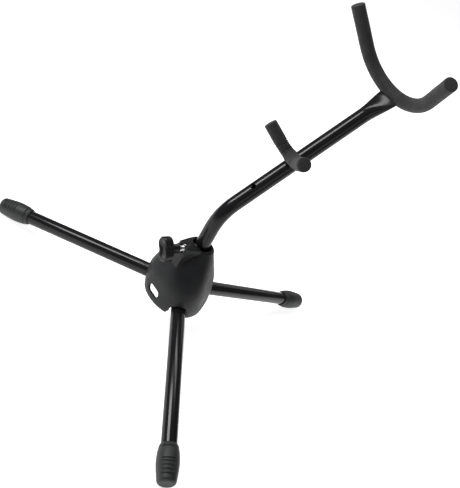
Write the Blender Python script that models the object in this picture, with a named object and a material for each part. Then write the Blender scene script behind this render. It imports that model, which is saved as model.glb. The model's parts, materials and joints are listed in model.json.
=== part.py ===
"""Folding stand for a saxophone.

Three steel legs fold down out of a moulded bell-shaped hub. A bent steel arm stands in the hub's
socket, where it turns, slides and is held by a clamp screw. It carries a padded yoke for the
instrument's bell and a padded peg fork for its body.

Units are metres and +Z is up. Every shape is drawn in the hub's frame, whose origin is the point where
the three leg axes and the arm's axis meet, and every object is then placed at HUB, so that the stand's
own origin is the centre of its base on the floor. The arm leans towards +X, over the right leg, and the
XZ plane is the plane of symmetry, apart from a small turn of the peg fork and of the knob.
"""

import math

import bmesh
import bpy
from mathutils import Matrix, Vector

MM = 0.001
GAP = 0.3 * MM
RUNNING_FIT = 0.1 * MM

# Place of the hub's frame in the stand's frame
HUB = Vector((-54.8 * MM, 0.0, 61.4 * MM))

# Legs: distances run along the leg's axis from the hub's origin
LEG_AZIMUTHS = {"right": 0.0, "left": 120.0, "front": -120.0}
LEG_DROOP = math.radians(13.0)
LEG_RADIUS = 8.0 * MM
LEG_WALL = 1.2 * MM
LEG_START = 14.0 * MM
LEG_PIVOT = 21.0 * MM
LEG_END = 224.5 * MM
LEG_PLUG_LENGTH = 15.0 * MM

# Rubber feet
FOOT_MOUTH = 197.3 * MM
FOOT_TIP = 237.0 * MM
FOOT_RADIUS = 11.5 * MM
FOOT_LIP_RADIUS = 8.9 * MM
FOOT_SWELL_LENGTH = 17.5 * MM
FOOT_SWELL_POWER = 0.75
FOOT_TAPER = 1.7 * MM
FOOT_TAPER_POWER = 1.5
FOOT_NOSE_LENGTH = 4.5 * MM
FOOT_NOSE_POWER = 2.2
FOOT_FLAT_RADIUS = 5.6 * MM
FOOT_STEPS = 5
FLOOR_CUTTER_REACH = 60.0 * MM
FLOOR_CUTTER_DEPTH = 20.0 * MM

# Rivets across the hub's cheek plates
RIVET_RADIUS = 2.4 * MM
RIVET_HEAD_RADIUS = 4.0 * MM
RIVET_HEAD_THICKNESS = 1.6 * MM
RIVET_HEAD_CHAMFER = 0.6 * MM
RIVET_CROWN_SHARE = 0.6

# Hub shell
HUB_WALL = 2.8 * MM
RIM_HEIGHT = 58.5 * MM
SKIRT_BOTTOM = -18.0 * MM
CHEEK_INNER = 8.6 * MM
CHEEK_OUTER = 10.8 * MM
SLOT_HALF_WIDTH = 11.0 * MM
SLOT_TOP_CLEARANCE = 0.4 * MM
SLOT_START = 35.0 * MM
SLOT_END = 60.0 * MM
SLOT_DROP = 70.0 * MM
SLOT_ARCH_STEPS = 12
WINDOW_LENGTH = 18.2 * MM
WINDOW_HEIGHT = 8.2 * MM
WINDOW_CENTRE_HEIGHT = -6.8 * MM
WINDOW_AZIMUTH = math.radians(180.0)
WINDOW_CUT_START = 24.0 * MM
WINDOW_CUT_END = 46.0 * MM

# Cheek plates beside the legs: places out along the leg and up
CHEEK_INNER_REACH = 12.0 * MM
CHEEK_KNEE = (14.0 * MM, -10.0 * MM)
CHEEK_TOE = (29.0 * MM, -16.0 * MM)
CHEEK_WALL_REACH = 34.0 * MM
CHEEK_SINK = 2.4 * MM
CHEEK_TOP = 46.0 * MM

# Arm socket, its lining and the arm
ARM_RADIUS = 8.25 * MM
ARM_WALL = 1.4 * MM
ARM_FOOT_HEIGHT = 9.8 * MM
ARM_CORNER_HEIGHT = 102.0 * MM
ARM_LEAN = math.radians(43.0)
ARM_BEND_TANGENT = 20.0 * MM
SOCKET_RADIUS = 13.2 * MM
SOCKET_BORE = 10.6 * MM
SOCKET_FLOOR = 7.5 * MM
SOCKET_LIP_TOP = 9.5 * MM
SOCKET_LIP_RADIUS = 6.2 * MM
SOCKET_COLUMN_TOP = 50.0 * MM
SOCKET_SEAT_CLEARANCE = 0.25 * MM
MOUTH_CHAMFER = 0.8 * MM
MOUTH_CHAMFER_DEPTH = 1.1 * MM
BUSH_BOTTOM = 14.0 * MM
BUSH_TOP = 48.0 * MM

# Distances along the leaning part of the arm, from its corner
SPARE_HOLE_AT = 45.0 * MM
PEG_AT = 95.0 * MM
FLARE_START = 186.0 * MM
YOKE_AT = 228.0 * MM
FLARE_HALF_WIDTH = 13.5 * MM
FLARE_HALF_THICKNESS = 2.0 * MM
FLARE_LEAST_BORE = 0.4 * MM
ARM_BEND_STEPS = 8
FLARE_STEPS = 6
ARM_PLUG_LENGTH = 11.7 * MM
HOLE_CUTTER_REACH = 12.0 * MM
BUSH_SEAT_GAP = 0.2 * MM

# Yoke: a planar U of rod in a foam sleeve
YOKE_PLANE = math.radians(123.0)
YOKE_BEND_RADIUS = 59.0 * MM
YOKE_HALF_ANGLE = math.radians(60.7)
YOKE_PRONG = 46.3 * MM
YOKE_ROD_RADIUS = 4.0 * MM
YOKE_SLEEVE_RADIUS = 7.7 * MM
SLEEVE_END_WALL = 2.0 * MM
YOKE_END_ROUNDING = 1.2 * MM
YOKE_SLIT_START = -14.0 * MM
YOKE_SLIT_END = -1.0 * MM
SLEEVE_SIDES = 16
ROD_SIDES = 12

# Peg fork: a shallow U of rod in two foam sleeves, on a spigot that plugs into the arm
PEG_LIFT = 13.4 * MM
PEG_BEND_RADIUS = 27.0 * MM
PEG_HALF_ANGLE = math.radians(46.0)
PEG_PRONG = 21.0 * MM
PEG_ROD_RADIUS = 3.2 * MM
PEG_SLEEVE_RADII = {"right": 7.7 * MM, "left": 7.2 * MM}
PEG_TWIST = math.radians(3.0)
PEG_SLEEVE_SPLIT = 3.5 * MM
PEG_END_ROUNDING = 1.6 * MM
PEG_SADDLE_REACH = 14.0 * MM
SPIGOT_RADIUS = 3.0 * MM
SPIGOT_TIP_RADIUS = 2.0 * MM
SPIGOT_DEPTH = 11.0 * MM

# Clamp: a screw through the boss on the hub's -X side
BOSS_START = 9.0 * MM
BOSS_END = 27.0 * MM
BOSS_TOP = 60.3 * MM
BOSS_HIGHEST_BOTTOM = 48.0 * MM
BOSS_SINK = 1.5 * MM
BOSS_ROOT_HALF_WIDTH = 12.0 * MM
BOSS_END_HALF_WIDTH = 7.4 * MM
BOSS_KEEL_SHARE = 0.8
BOSS_CHAMFER = 0.9 * MM
BOSS_STEPS = 5
CLAMP_HEIGHT = 55.0 * MM
PAD_RADIUS = 3.9 * MM
PAD_FACE = 8.4 * MM
PAD_BACK = 12.2 * MM
PAD_BORE_END = 16.2 * MM
SCREW_RADIUS = 3.0 * MM
SCREW_TIP = 12.5 * MM
SCREW_FLANGE = 30.0 * MM
SCREW_FLANGE_THICKNESS = 2.0 * MM
SCREW_FLANGE_RADIUS = 4.2 * MM
SCREW_END = 44.0 * MM
NUT_START = 18.5 * MM
NUT_END = 23.5 * MM
NUT_RADIUS = 5.2 * MM
KNOB_START = 32.4 * MM
KNOB_WINGS_START = 42.0 * MM
KNOB_FACE = 53.0 * MM
KNOB_RADIUS = 9.8 * MM
KNOB_WING_REACH = 3.6 * MM
KNOB_TURN = math.radians(41.0)
KNOB_SIDES = 28
KNOB_COLLAR_RADIUS = 5.2 * MM
KNOB_COLLAR_CHAMFER = 0.6 * MM
SCREW_TIP_CHAMFER = 0.6 * MM

ROUND_SIDES = 24
HUB_SIDES = 42
RIVET_SIDES = 16
SHARP_ANGLE = math.radians(35.0)

COLOURS = {
    "black_enamel": ((0.010, 0.010, 0.011), 0.20, 0.0),
    "hub_plastic": ((0.020, 0.021, 0.023), 0.55, 0.0),
    "foot_rubber": ((0.028, 0.029, 0.030), 0.62, 0.0),
    "foam": ((0.018, 0.018, 0.019), 0.88, 0.0),
    "bare_steel": ((0.60, 0.60, 0.61), 0.28, 1.0),
    "black_plastic": ((0.018, 0.018, 0.019), 0.42, 0.0),
    "liner_plastic": ((0.105, 0.105, 0.106), 0.42, 0.0),
}


def clear_scene():
    """Remove every object that is already in the file."""
    for obj in list(bpy.data.objects):
        bpy.data.objects.remove(obj)


def material(node_name, finish):
    """A Principled material of its own for one node."""
    colour, roughness, metallic = COLOURS[finish]
    made = bpy.data.materials.new(node_name + "_material")
    made.use_nodes = True
    shader = made.node_tree.nodes["Principled BSDF"]
    shader.inputs["Base Color"].default_value = (*colour, 1.0)
    shader.inputs["Roughness"].default_value = roughness
    shader.inputs["Metallic"].default_value = metallic
    made.diffuse_color = (*colour, 1.0)
    return made


def loft(name, rings, closed=False):
    """An object at the hub, skinned over rings of equally many points. Unless closed, its first and last
    rings are capped; if closed, the last ring joins the first."""
    mesh = bmesh.new()
    loops = [[mesh.verts.new(point) for point in ring] for ring in rings]
    following = loops[1:] + ([loops[0]] if closed else [])
    for first, second in zip(loops, following):
        for i in range(len(first)):
            j = (i + 1) % len(first)
            mesh.faces.new((first[i], first[j], second[j], second[i]))
    if not closed:
        mesh.faces.new(loops[0][::-1])
        mesh.faces.new(loops[-1])
    bmesh.ops.recalc_face_normals(mesh, faces=mesh.faces)
    data = bpy.data.meshes.new(name)
    mesh.to_mesh(data)
    mesh.free()
    data.shade_smooth()
    data.set_sharp_from_angle(angle=SHARP_ANGLE)
    obj = bpy.data.objects.new(name, data)
    obj.location = HUB
    bpy.context.collection.objects.link(obj)
    return obj


def as_node(obj, finish):
    """Finish an object that is one of the stand's pieces."""
    obj.data.materials.append(material(obj.name, finish))
    return obj


def as_tool(obj):
    """Hide an object that only cuts or joins."""
    obj.hide_render = True
    obj.display_type = "WIRE"
    return obj


def boolean(target, tool, operation):
    """Add a live Boolean to the target and hide its tool."""
    modifier = target.modifiers.new(operation.lower() + "_" + tool.name, "BOOLEAN")
    modifier.operation = operation
    modifier.solver = "EXACT"
    modifier.object = as_tool(tool)


def circle(frame, radius, along, sides=ROUND_SIDES):
    """Points of a circle about the frame's Z axis, at a distance along it."""
    turns = (2 * math.pi * i / sides for i in range(sides))
    return [frame @ Vector((radius * math.cos(t), radius * math.sin(t), along)) for t in turns]


def turned(name, frame, profile, sides=ROUND_SIDES, closed=False):
    """A turned piece about the frame's Z axis, from (radius, distance along) pairs."""
    return loft(name, [circle(frame, radius, along, sides) for radius, along in profile], closed)


def hollow_profile(outer, inner, start, end):
    """The closed profile of a plain ring or tube."""
    return [(outer, start), (outer, end), (inner, end), (inner, start)]


def box_between(name, low, high):
    """A box from its lowest to its highest corner."""
    corners = ((low[0], low[1]), (high[0], low[1]), (high[0], high[1]), (low[0], high[1]))
    return loft(name, [[Vector((x, y, z)) for x, y in corners] for z in (low[2], high[2])])


def extruded(name, frame, outline, start, end):
    """An outline in the frame's XY plane, extruded along its Z axis."""
    return loft(name, [[frame @ Vector((x, y, along)) for x, y in outline] for along in (start, end)])


def capsule(length, height, steps=8):
    """The outline of a slot with round ends, centred on the origin."""
    radius = height / 2
    reach = length / 2 - radius
    outline = []
    for side in (1, -1):
        for i in range(steps + 1):
            turn = math.pi * (i / steps - 0.5)
            outline.append((side * (reach + radius * math.cos(turn)), side * radius * math.sin(turn)))
    return outline


def joint_empty(name, place):
    """An empty on a joint's axis, given in the hub's frame. The joint's moving pieces are its children."""
    empty = bpy.data.objects.new(name, None)
    empty.location = HUB + place
    empty.empty_display_size = 10 * MM
    bpy.context.collection.objects.link(empty)
    return empty


def attach(children, parent):
    """Parent objects to an empty and leave them where they are."""
    for child in children:
        child.parent = parent
        child.matrix_parent_inverse = Matrix.Translation(parent.location).inverted()


# Swept pieces: each path lies in one plane, as points with their tangents


def planar_path(origin, side, up, radius, half_angle, prong, bend_steps, prong_steps):
    """A shallow U from its -side tip to its +side tip: an arc whose lowest point is the origin, and a
    straight prong at each end. It is a list of (point, tangent)."""
    half = []
    for i in range(bend_steps + 1):
        angle = half_angle * i / bend_steps
        point = (radius * math.sin(angle), radius * (1 - math.cos(angle)))
        half.append((point, (math.cos(angle), math.sin(angle))))
    (end_side, end_up), (run_side, run_up) = half[-1]
    for i in range(1, prong_steps + 1):
        run = prong * i / prong_steps
        half.append(((end_side + run * run_side, end_up + run * run_up), (run_side, run_up)))
    mirrored = [((-a, b), (c, -d)) for (a, b), (c, d) in half[:0:-1]]
    return [
        (origin + a * side + b * up, c * side + d * up)
        for (a, b), (c, d) in mirrored + half
    ]


def path_length(path):
    """Distances along a path, one for each of its points."""
    lengths = [0.0]
    for (first, _), (second, _) in zip(path, path[1:]):
        lengths.append(lengths[-1] + (second - first).length)
    return lengths


def path_slice(path, start, end):
    """The part of a path between two distances along it, with new points at its ends."""
    lengths = path_length(path)

    def at(distance):
        k = 1
        while k < len(lengths) - 1 and lengths[k] < distance:
            k += 1
        share = (distance - lengths[k - 1]) / (lengths[k] - lengths[k - 1])
        point = path[k - 1][0].lerp(path[k][0], share)
        tangent = path[k - 1][1].lerp(path[k][1], share).normalized()
        return point, tangent

    margin = 1.0 * MM
    inside = [place for place, run in zip(path, lengths) if start + margin < run < end - margin]
    return [at(start)] + inside + [at(end)]


def swept_rings(path, plane_normal, radii, sides):
    """Rings along a path. A radius is one number, or a pair: across the plane, and in it."""
    rings = []
    for (point, tangent), radius in zip(path, radii):
        across, within = radius if isinstance(radius, tuple) else (radius, radius)
        inward = plane_normal.cross(tangent)
        ring = []
        for i in range(sides):
            turn = 2 * math.pi * (i + 0.5) / sides
            ring.append(point + across * math.cos(turn) * plane_normal + within * math.sin(turn) * inward)
        rings.append(ring)
    return rings


def round_end_radii(path, radius, rounding, rounded_start, rounded_end):
    """Radii along a path whose chosen ends are rounded off, and the path with extra points for them."""
    steps = (0.0, 0.3, 0.65, 1.0)
    total = path_length(path)[-1]
    places = []
    radii = []
    for share in steps if rounded_start else (0.0,):
        places.append(rounding * share)
        radii.append(radius - rounding * (1 - math.sqrt(1 - (1 - share) ** 2)) if rounded_start else radius)
    for run in path_length(path)[1:-1]:
        if rounding < run < total - rounding:
            places.append(run)
            radii.append(radius)
    for share in steps[::-1] if rounded_end else (0.0,):
        places.append(total - rounding * share)
        radii.append(radius - rounding * (1 - math.sqrt(1 - (1 - share) ** 2)) if rounded_end else radius)
    points = []
    for place in places:
        start = min(max(place, 0.0), total)
        sliced = path_slice(path, start, total) if start < total / 2 else path_slice(path, 0.0, start)
        points.append(sliced[0] if start < total / 2 else sliced[-1])
    return points, radii


# Hub


# Levels of the hub's outside: height, mean radius, reach of the corners over the legs, and how far the
# level sits towards the clamp, in mm
HUB_LEVELS = (
    (-18.0, 35.2, 0.8, 0.0),
    (-13.0, 36.4, 1.6, 0.0),
    (-6.0, 37.3, 2.6, 0.0),
    (2.0, 37.1, 3.5, 0.7),
    (10.0, 36.2, 3.8, 1.6),
    (18.0, 34.1, 3.8, 1.9),
    (26.0, 31.0, 3.2, 1.9),
    (34.0, 27.2, 2.2, 1.6),
    (44.0, 21.9, 1.0, 0.9),
    (55.5, 15.7, 0.0, 0.2),
    (57.5, 14.8, 0.0, 0.0),
    (58.5, 13.4, 0.0, 0.0),
)
CAVITY_LEVELS = HUB_LEVELS[:9]
CHEEK_LEVELS = HUB_LEVELS[2:9]


def hub_radius(height, azimuth):
    """The hub's outer radius: round at the socket, and below it a rounded triangle with its corners over
    the legs."""
    level = min(max(height / MM, HUB_LEVELS[0][0]), HUB_LEVELS[-1][0])
    for lower, upper in zip(HUB_LEVELS, HUB_LEVELS[1:]):
        if level <= upper[0]:
            break
    share = (level - lower[0]) / (upper[0] - lower[0])
    mean, lobe, shift = (low + share * (high - low) for low, high in zip(lower[1:], upper[1:]))
    return (mean + lobe * math.cos(3 * azimuth) - shift * math.cos(azimuth)) * MM


def hub_ring(height, inset):
    """One level of the hub's outside, or of a surface inset from it."""
    ring = []
    for i in range(HUB_SIDES):
        azimuth = 2 * math.pi * (i + 0.4) / HUB_SIDES
        radius = hub_radius(height, azimuth) - inset
        ring.append(Vector((radius * math.cos(azimuth), radius * math.sin(azimuth), height)))
    return ring


def hub_outside():
    return loft("hub_shell", [hub_ring(level[0] * MM, 0.0) for level in HUB_LEVELS])


def hub_cavity():
    """The space under the hub: its outside moved in by the wall, and open at the bottom."""
    below = SKIRT_BOTTOM - 2 * MM
    rings = [[Vector((p.x, p.y, below)) for p in hub_ring(SKIRT_BOTTOM, HUB_WALL)]]
    rings += [hub_ring(level[0] * MM, HUB_WALL) for level in CAVITY_LEVELS]
    return loft("hub_cavity_cutter", rings)


def leg_frame(azimuth_degrees):
    """A frame whose Z axis runs out along a leg."""
    about_z = Matrix.Rotation(math.radians(azimuth_degrees), 4, "Z")
    return about_z @ Matrix.Rotation(math.pi / 2 + LEG_DROOP, 4, "Y")


def leg_direction(azimuth_degrees):
    return leg_frame(azimuth_degrees).to_3x3() @ Vector((0, 0, 1))


def pivot_frame(azimuth_degrees):
    """A frame on a leg's pivot whose Z axis is the pivot's axis."""
    pivot = leg_direction(azimuth_degrees) * LEG_PIVOT
    about_z = Matrix.Rotation(math.radians(azimuth_degrees), 4, "Z")
    return Matrix.Translation(pivot) @ about_z @ Matrix.Rotation(-math.pi / 2, 4, "X")


def cheek_outline():
    """A cheek plate seen along the pivot: out along the leg, and up. Its outer edge lies inside the hub's
    wall."""
    middle = (CHEEK_INNER + CHEEK_OUTER) / 2
    azimuth = math.atan2(middle, CHEEK_WALL_REACH)
    outline = [(CHEEK_INNER_REACH, SOCKET_FLOOR), CHEEK_KNEE, CHEEK_TOE]
    for height in (CHEEK_TOE[1], *(level[0] * MM for level in CHEEK_LEVELS)):
        radius = hub_radius(height, azimuth) - CHEEK_SINK
        outline.append((math.sqrt(radius**2 - middle**2), height))
    outline.append((CHEEK_INNER_REACH, CHEEK_TOP))
    return outline


def cheek_plates():
    """Two plates beside each leg, which carry its rivet."""
    plates = []
    for name, azimuth in LEG_AZIMUTHS.items():
        about_z = Matrix.Rotation(math.radians(azimuth), 4, "Z")
        upright = about_z @ Matrix.Rotation(math.pi / 2, 4, "X")
        for side, (start, end) in enumerate(((CHEEK_INNER, CHEEK_OUTER), (-CHEEK_OUTER, -CHEEK_INNER))):
            plates.append(extruded(f"cheek_{name}_{side}", upright, cheek_outline(), start, end))
    return plates


def shoulder_height(reach, azimuth):
    """The height at which the hub's shoulder is this wide."""
    height = RIM_HEIGHT
    while height > 0 and hub_radius(height, azimuth) < reach:
        height -= 0.5 * MM
    return height


def boss_ring(along):
    """The boss in section: a flat top with chamfers, and a narrower bottom inside the hub's wall."""
    share = (along - BOSS_START) / (BOSS_END - BOSS_START)
    half = BOSS_ROOT_HALF_WIDTH + share * (BOSS_END_HALF_WIDTH - BOSS_ROOT_HALF_WIDTH)
    keel = BOSS_KEEL_SHARE * half
    azimuth = math.pi - math.atan2(keel, along)
    bottom = min(shoulder_height(math.hypot(along, keel), azimuth) - BOSS_SINK, BOSS_HIGHEST_BOTTOM)
    section = (
        (-keel, bottom),
        (keel, bottom),
        (half, CLAMP_HEIGHT),
        (half, BOSS_TOP - BOSS_CHAMFER),
        (half - BOSS_CHAMFER, BOSS_TOP),
        (BOSS_CHAMFER - half, BOSS_TOP),
        (-half, BOSS_TOP - BOSS_CHAMFER),
        (-half, CLAMP_HEIGHT),
    )
    return [Vector((-along, y, z)) for y, z in section]


def clamp_boss():
    """The block that holds the clamp screw, with the buttress that carries it on the hub's shoulder."""
    stations = [BOSS_START + (BOSS_END - BOSS_START) * i / BOSS_STEPS for i in range(BOSS_STEPS + 1)]
    return loft("clamp_boss", [boss_ring(along) for along in stations])


def clamp_frame():
    """A frame on the clamp screw whose Z axis points away from the arm, along -X."""
    return Matrix.Translation((0, 0, CLAMP_HEIGHT)) @ Matrix.Rotation(-math.pi / 2, 4, "Y")


def leg_slot(name, azimuth):
    """An inverted U for one leg: an arch along the leg, and straight sides through the skirt's edge."""
    radius = SLOT_HALF_WIDTH
    shift = radius - LEG_RADIUS - SLOT_TOP_CLEARANCE
    outline = [(SLOT_DROP, radius), (SLOT_DROP, -radius)]
    for i in range(SLOT_ARCH_STEPS + 1):
        turn = math.pi * (i / SLOT_ARCH_STEPS - 0.5)
        outline.append((shift - radius * math.cos(turn), radius * math.sin(turn)))
    return extruded(f"leg_slot_{name}", leg_frame(azimuth), outline, SLOT_START, SLOT_END)


def hub_window():
    """A round-ended opening in the skirt below the clamp."""
    about_z = Matrix.Rotation(WINDOW_AZIMUTH, 4, "Z")
    frame = about_z @ Matrix.Translation((0, 0, WINDOW_CENTRE_HEIGHT))
    frame = frame @ Matrix.Rotation(math.pi / 2, 4, "Y") @ Matrix.Rotation(math.pi / 2, 4, "Z")
    outline = capsule(WINDOW_LENGTH, WINDOW_HEIGHT)
    return extruded("hub_window", frame, outline, WINDOW_CUT_START, WINDOW_CUT_END)


def build_hub():
    """The hub shell: a hollow bell with the arm's socket, the legs' cheek plates and the clamp's boss."""
    upright = Matrix.Identity(4)
    along_clamp = clamp_frame()
    hub = hub_outside()
    boolean(hub, hub_cavity(), "DIFFERENCE")
    column = [(SOCKET_RADIUS, SOCKET_FLOOR), (SOCKET_RADIUS, SOCKET_COLUMN_TOP)]
    boolean(hub, turned("socket_column", upright, column), "UNION")
    for plate in cheek_plates():
        boolean(hub, plate, "UNION")
    boolean(hub, clamp_boss(), "UNION")
    bore = [
        (SOCKET_BORE, BUSH_BOTTOM - GAP),
        (SOCKET_BORE, RIM_HEIGHT + RUNNING_FIT - MOUTH_CHAMFER_DEPTH),
        (SOCKET_BORE + MOUTH_CHAMFER, RIM_HEIGHT + RUNNING_FIT),
        (SOCKET_BORE + MOUTH_CHAMFER, BOSS_TOP + MM),
    ]
    boolean(hub, turned("socket_bore", upright, bore), "DIFFERENCE")
    seat_radius = ARM_RADIUS + SOCKET_SEAT_CLEARANCE
    arm_seat = [(seat_radius, SOCKET_LIP_TOP), (seat_radius, BUSH_BOTTOM + MM)]
    boolean(hub, turned("arm_seat_bore", upright, arm_seat), "DIFFERENCE")
    drain = [(SOCKET_LIP_RADIUS, SOCKET_FLOOR - MM), (SOCKET_LIP_RADIUS, SOCKET_LIP_TOP + MM)]
    boolean(hub, turned("socket_drain", upright, drain), "DIFFERENCE")
    pad_bore = [(PAD_RADIUS + GAP, PAD_FACE - MM), (PAD_RADIUS + GAP, PAD_BORE_END)]
    boolean(hub, turned("pad_bore", along_clamp, pad_bore), "DIFFERENCE")
    screw_bore = [(SCREW_RADIUS + GAP, PAD_FACE), (SCREW_RADIUS + GAP, BOSS_END + MM)]
    boolean(hub, turned("screw_bore", along_clamp, screw_bore), "DIFFERENCE")
    pocket = [(NUT_RADIUS + GAP, NUT_START - GAP), (NUT_RADIUS + GAP, BOSS_END + MM)]
    boolean(hub, turned("nut_pocket", along_clamp, pocket, sides=6), "DIFFERENCE")
    for name, azimuth in LEG_AZIMUTHS.items():
        boolean(hub, leg_slot(name, azimuth), "DIFFERENCE")
        hole_radius = RIVET_RADIUS + RUNNING_FIT
        rivet_hole = [(hole_radius, -CHEEK_OUTER - MM), (hole_radius, CHEEK_OUTER + MM)]
        boolean(hub, turned(f"rivet_hole_{name}", pivot_frame(azimuth), rivet_hole), "DIFFERENCE")
    boolean(hub, hub_window(), "DIFFERENCE")
    return as_node(hub, "hub_plastic")


# Legs


def build_rivet(name, azimuth):
    head_start = CHEEK_OUTER + GAP
    head_end = head_start + RIVET_HEAD_THICKNESS
    half = [
        (RIVET_RADIUS, head_start),
        (RIVET_HEAD_RADIUS, head_start),
        (RIVET_HEAD_RADIUS, head_end - RIVET_HEAD_CHAMFER),
        (RIVET_HEAD_RADIUS * RIVET_CROWN_SHARE, head_end),
    ]
    profile = [(radius, -along) for radius, along in half[::-1]] + half
    return as_node(turned(f"leg_rivet_{name}", pivot_frame(azimuth), profile, RIVET_SIDES), "bare_steel")


def pivot_hole(owner, azimuth):
    """A hole for the rivet across a leg piece."""
    radius = RIVET_RADIUS + RUNNING_FIT
    profile = [(radius, -LEG_RADIUS - MM), (radius, LEG_RADIUS + MM)]
    boolean(owner, turned(f"{owner.name}_hole", pivot_frame(azimuth), profile), "DIFFERENCE")


def build_leg_tube(name, azimuth):
    profile = hollow_profile(LEG_RADIUS, LEG_RADIUS - LEG_WALL, LEG_START, LEG_END)
    tube = turned(f"leg_tube_{name}", leg_frame(azimuth), profile, closed=True)
    pivot_hole(tube, azimuth)
    return as_node(tube, "black_enamel")


def build_leg_plug(name, azimuth):
    radius = LEG_RADIUS - LEG_WALL - GAP
    start = LEG_START + GAP
    profile = [(radius, start), (radius, start + LEG_PLUG_LENGTH)]
    plug = turned(f"leg_plug_{name}", leg_frame(azimuth), profile)
    pivot_hole(plug, azimuth)
    return as_node(plug, "liner_plastic")


def foot_profile():
    """The outside of a foot, from its mouth to its tip: a quick swell, a slow taper and a rounded end."""
    profile = []
    for i in range(FOOT_STEPS + 1):
        share = i / FOOT_STEPS
        swell = math.sin(0.5 * math.pi * share**FOOT_SWELL_POWER)
        radius = FOOT_LIP_RADIUS + (FOOT_RADIUS - FOOT_LIP_RADIUS) * swell
        profile.append((radius, FOOT_MOUTH + FOOT_SWELL_LENGTH * share))
    taper_start = FOOT_MOUTH + FOOT_SWELL_LENGTH
    nose_start = FOOT_TIP - FOOT_NOSE_LENGTH
    for i in range(1, FOOT_STEPS):
        share = i / FOOT_STEPS
        radius = FOOT_RADIUS - FOOT_TAPER * share**FOOT_TAPER_POWER
        profile.append((radius, taper_start + (nose_start - taper_start) * share))
    for i in range(FOOT_STEPS + 1):
        share = math.sin(0.5 * math.pi * i / FOOT_STEPS)
        reach = (1 - share**FOOT_NOSE_POWER) ** (1 / FOOT_NOSE_POWER)
        radius = FOOT_FLAT_RADIUS + (FOOT_RADIUS - FOOT_TAPER - FOOT_FLAT_RADIUS) * reach
        profile.append((radius, nose_start + FOOT_NOSE_LENGTH * share))
    return profile


def build_foot(name, azimuth):
    """A rubber cap, cut flat where it rests on the floor."""
    bore = LEG_RADIUS + GAP
    profile = [(bore, LEG_END + GAP), (bore, FOOT_MOUTH)] + foot_profile()
    foot = turned(f"foot_{name}", leg_frame(azimuth), profile)
    centre = leg_direction(azimuth) * FOOT_TIP
    floor = -HUB.z
    low = (centre.x - FLOOR_CUTTER_REACH, centre.y - FLOOR_CUTTER_REACH, floor - FLOOR_CUTTER_DEPTH)
    high = (centre.x + FLOOR_CUTTER_REACH, centre.y + FLOOR_CUTTER_REACH, floor)
    boolean(foot, box_between(f"floor_cutter_{name}", low, high), "DIFFERENCE")
    return as_node(foot, "foot_rubber")


def build_legs():
    for name, azimuth in LEG_AZIMUTHS.items():
        build_rivet(name, azimuth)
        pieces = [build_leg_tube(name, azimuth), build_leg_plug(name, azimuth), build_foot(name, azimuth)]
        attach(pieces, joint_empty(f"leg_{name}_pivot", leg_direction(azimuth) * LEG_PIVOT))


# Arm

ARM_CORNER = Vector((0, 0, ARM_CORNER_HEIGHT))
ARM_RUN = Vector((math.sin(ARM_LEAN), 0, math.cos(ARM_LEAN)))
ARM_UPPER_SIDE = Vector((-math.cos(ARM_LEAN), 0, math.sin(ARM_LEAN)))
ACROSS = Vector((0, 1, 0))


def arm_path():
    """(point, tangent, share of flattening) from the arm's foot to its end against the yoke's rod."""
    up = Vector((0, 0, 1))
    radius = ARM_BEND_TANGENT / math.tan(ARM_LEAN / 2)
    bend_start = ARM_CORNER - up * ARM_BEND_TANGENT
    centre = bend_start + Vector((radius, 0, 0))
    path = [(Vector((0, 0, ARM_FOOT_HEIGHT)), up, 0.0)]
    for i in range(ARM_BEND_STEPS + 1):
        angle = ARM_LEAN * i / ARM_BEND_STEPS
        point = centre + radius * Vector((-math.cos(angle), 0, math.sin(angle)))
        path.append((point, Vector((math.sin(angle), 0, math.cos(angle))), 0.0))
    end = YOKE_AT - YOKE_ROD_RADIUS - GAP
    for i in range(FLARE_STEPS + 1):
        share = i / FLARE_STEPS
        along = FLARE_START + (end - FLARE_START) * share
        path.append((ARM_CORNER + ARM_RUN * along, ARM_RUN, share))
    return path


def arm_half_sizes(share, inset):
    """(across, through) half sizes of the arm's section, from round to flattened."""
    ease = share * share * (3 - 2 * share)
    across = ARM_RADIUS + (FLARE_HALF_WIDTH - ARM_RADIUS) * ease - inset
    through = ARM_RADIUS + (FLARE_HALF_THICKNESS - ARM_RADIUS) * ease - inset
    return across, max(through, FLARE_LEAST_BORE)


def build_arm_tube():
    path = arm_path()
    line = [(point, tangent) for point, tangent, _ in path]
    outside = [arm_half_sizes(share, 0.0) for _, _, share in path]
    inside = [arm_half_sizes(share, ARM_WALL) for _, _, share in path]
    outer = swept_rings(line, ACROSS, outside, ROUND_SIDES)
    inner = swept_rings(line, ACROSS, inside, ROUND_SIDES)
    tube = loft("arm_tube", outer + inner[::-1], closed=True)
    radius = SPIGOT_RADIUS + RUNNING_FIT
    for name, along in (("peg_hole", PEG_AT), ("spare_hole", SPARE_HOLE_AT)):
        hole = turned(name, peg_frame(along), [(radius, -HOLE_CUTTER_REACH), (radius, HOLE_CUTTER_REACH)])
        boolean(tube, hole, "DIFFERENCE")
    return as_node(tube, "black_enamel")


def build_arm_plug():
    radius = ARM_RADIUS - ARM_WALL - GAP
    start = ARM_FOOT_HEIGHT + GAP
    profile = [(radius, start), (radius, start + ARM_PLUG_LENGTH)]
    return as_node(turned("arm_end_plug", Matrix.Identity(4), profile), "liner_plastic")


def build_guide_bush():
    profile = hollow_profile(SOCKET_BORE - BUSH_SEAT_GAP, ARM_RADIUS + RUNNING_FIT, BUSH_BOTTOM, BUSH_TOP)
    return as_node(turned("arm_guide_bush", Matrix.Identity(4), profile, closed=True), "liner_plastic")


# Yoke


def yoke_path():
    up = Vector((math.cos(YOKE_PLANE), 0, math.sin(YOKE_PLANE)))
    origin = ARM_CORNER + ARM_RUN * YOKE_AT
    return planar_path(origin, ACROSS, up, YOKE_BEND_RADIUS, YOKE_HALF_ANGLE, YOKE_PRONG, 8, 2)


def yoke_plane_normal():
    return Vector((-math.sin(YOKE_PLANE), 0, math.cos(YOKE_PLANE)))


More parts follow.
